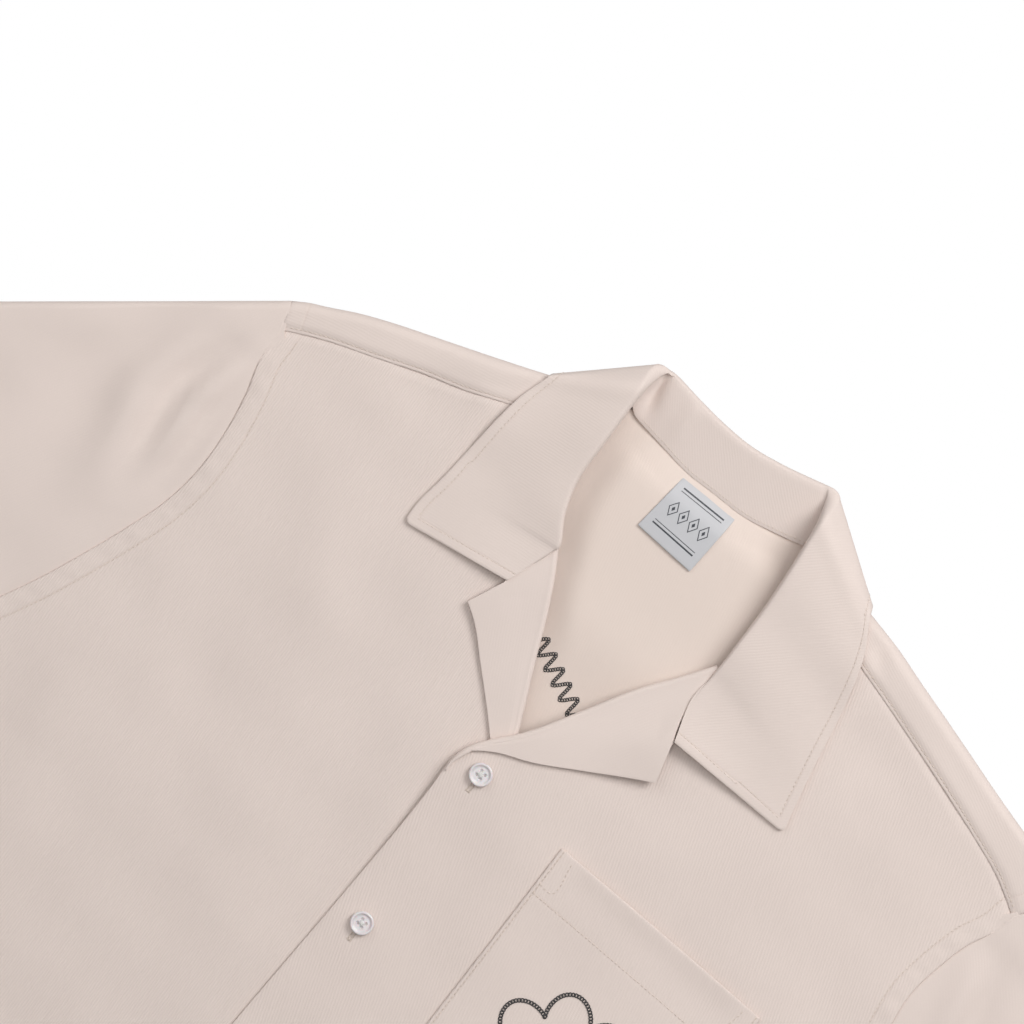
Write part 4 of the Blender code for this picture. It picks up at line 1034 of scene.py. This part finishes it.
# The profile's points: radius and height above the button's underside, from there round to its face.
button_profile = np.array((
    (0.0, 0.15), (4.6, 0.15), (5.35, 0.35), (5.68, 0.85), (5.75, 1.4), (5.6, 1.95), (5.25, 2.2), (4.85, 2.22),
    (4.5, 2.05), (4.2, 1.72), (3.8, 1.56), (2.5, 1.52), (1.2, 1.5), (0.0, 1.5),
))
hole_places = np.radians((30, 120, 210, 300))
hole_radius = 1.95
thread_spots, thread_ahead = [], []
for number, (bx, by) in enumerate(buttons, 1):
    slope = np.array([over(bx + 4, by) - over(bx - 4, by), over(bx, by + 4) - over(bx, by - 4)]) / 8
    up = np.array((-slope[0], -slope[1], 1)) / math.sqrt(slope @ slope + 1)
    right = np.cross((0, 1, 0), up)
    right /= np.linalg.norm(right)
    ahead = np.cross(up, right)
    centre = np.array((bx, by, float(over(bx, by)))) + 0.45 * up
    profile = curve(button_profile, 70)
    around_it = np.radians(np.arange(72) * 5)
    x = profile[:, :1] * np.cos(around_it)
    y = profile[:, :1] * np.sin(around_it)
    z = np.broadcast_to(profile[:, 1:], x.shape).copy()
    upper = (np.arange(70) > 35)[:, None]
    for a in hole_places:
        away = np.hypot(x - hole_radius * math.cos(a), y - hole_radius * math.sin(a))
        z -= np.where(upper, 0.9 * (1 - smooth((away - 0.5) / 0.3)), 0)
    grid = centre + x[..., None] * right + y[..., None] * ahead + z[..., None] * up
    index = np.arange(grid.shape[0] * 72).reshape(-1, 72)
    faces = grid_faces(np.concatenate([index, index[:, :1]], 1))
    points = grid.reshape(-1, 3)
    _, first, shared = np.unique(np.round(points, 4), axis=0, return_index=True, return_inverse=True)
    faces = [tuple(dict.fromkeys(f)) for f in shared.reshape(-1)[faces].tolist() if len(set(f)) > 2]
    dress(smooth_piece(f"shirt_button_{number}", points[first], faces, pearl), f"button_{number}")
    for a, b in ((0, 2), (1, 3)):
        start, end = (
            centre + hole_radius * (math.cos(hole_places[k]) * right + math.sin(hole_places[k]) * ahead) + 1.72 * up
            for k in (a, b)
        )
        along = (end - start) / np.linalg.norm(end - start)
        for shift in (-0.4, 0.0, 0.4):
            thread_spots.append((start + end) / 2 + shift * np.cross(up, along) + (0.12 if a else 0) * up)
            thread_ahead.append(along)
copies("button_threads", grain(3.3, 0.52, 0.6), np.array(thread_spots), np.array(thread_ahead), white_thread)

hole_spots, hole_ahead = [], []
for bx, by in buttons:
    down = np.linspace(5.5, -9.6, 36)
    for side in (-0.72, 0.72):
        plan = np.stack([np.full(36, bx + side), by + down], 1)
        hole_spots.append(on(over, plan, 0.08))
        hole_ahead.append(np.broadcast_to((1.0, 0, 0), (36, 3)))
    plan = np.stack([bx + np.linspace(-1.1, 1.1, 6), np.full(6, by - 10.0)], 1)
    hole_spots.append(on(over, plan, 0.12))
    hole_ahead.append(np.broadcast_to((0, 1.0, 0), (6, 3)))
worked = np.concatenate(hole_spots), np.concatenate(hole_ahead)
buttonholes = copies("buttonholes", grain(1.15, 0.4, 0.2), *worked, thread)

# The stage: a white table under a faint light from all round, a broad light overhead, a key light
# from the right of the picture and a weak fill from its upper left. The camera is straight above.
table_mesh = bpy.data.meshes.new("table")
table_corners = ((-6, -6), (6, -6), (6, 6), (-6, 6))
table_mesh.from_pydata([(x, y, -0.0006) for x, y in table_corners], [], [(0, 1, 2, 3)])
white_table, tree, shader = new_material("white table", {"Base Color": (0.38, 0.38, 0.38, 1), "Roughness": 0.9})
lit = node(tree, "ShaderNodeEmission", [(0, (1, 1, 1, 1)), (1, 1.0)])
seen = node(tree, "ShaderNodeLightPath")
either = node(tree, "ShaderNodeMixShader", [(0, seen.outputs["Is Camera Ray"])])
tree.links.new(shader.outputs[0], either.inputs[1])
tree.links.new(lit.outputs[0], either.inputs[2])
tree.links.new(either.outputs[0], tree.nodes["Material Output"].inputs["Surface"])
table_mesh.materials.append(white_table)
table = bpy.data.objects.new("table", table_mesh)
bpy.context.collection.objects.link(table)

world = bpy.data.worlds.new("studio")
world.use_nodes = True
world.node_tree.nodes["Background"].inputs["Color"].default_value = (1.0, 0.985, 0.97, 1)
world.node_tree.nodes["Background"].inputs["Strength"].default_value = 0.23
bpy.context.scene.world = world
bpy.context.scene.view_settings.view_transform = "Standard"

picture_up, picture_right = Vector((-0.6239, 0.7815, 0)), Vector((0.7815, 0.6239, 0))
middle = Vector((-0.0689, 0.2336, 0))
for name, toward, distance, high, size, power in (
    ("overhead", picture_up, 0.05, 3.3, 3.0, 29),
    ("key", 0.45 * picture_up + picture_right, 1.7, 1.55, 1.3, 36),
    ("fill", 0.8 * picture_up - 0.6 * picture_right, 2.0, 1.6, 1.6, 10),
):
    lamp = bpy.data.lights.new(name, "AREA")
    lamp.shape, lamp.size, lamp.energy = "DISK", size, power
    light = bpy.data.objects.new(name, lamp)
    light.location = middle + toward.normalized() * distance + Vector((0, 0, high))
    light.rotation_euler = (light.location - middle).to_track_quat("Z", "Y").to_euler()
    bpy.context.collection.objects.link(light)

# The picture covers 0.483 m of the cloth, which is about 10 mm above the table.
picture_width, camera_height, above_cloth, sensor = 0.483, 2.8, 2.79, 36
lens = bpy.data.cameras.new("camera")
lens.sensor_width, lens.lens = sensor, sensor * above_cloth / picture_width
camera = bpy.data.objects.new("camera", lens)
camera.location = (middle.x, middle.y, camera_height)
camera.rotation_euler = (0, 0, math.radians(38.6))
bpy.context.collection.objects.link(camera)
bpy.context.scene.camera = camera
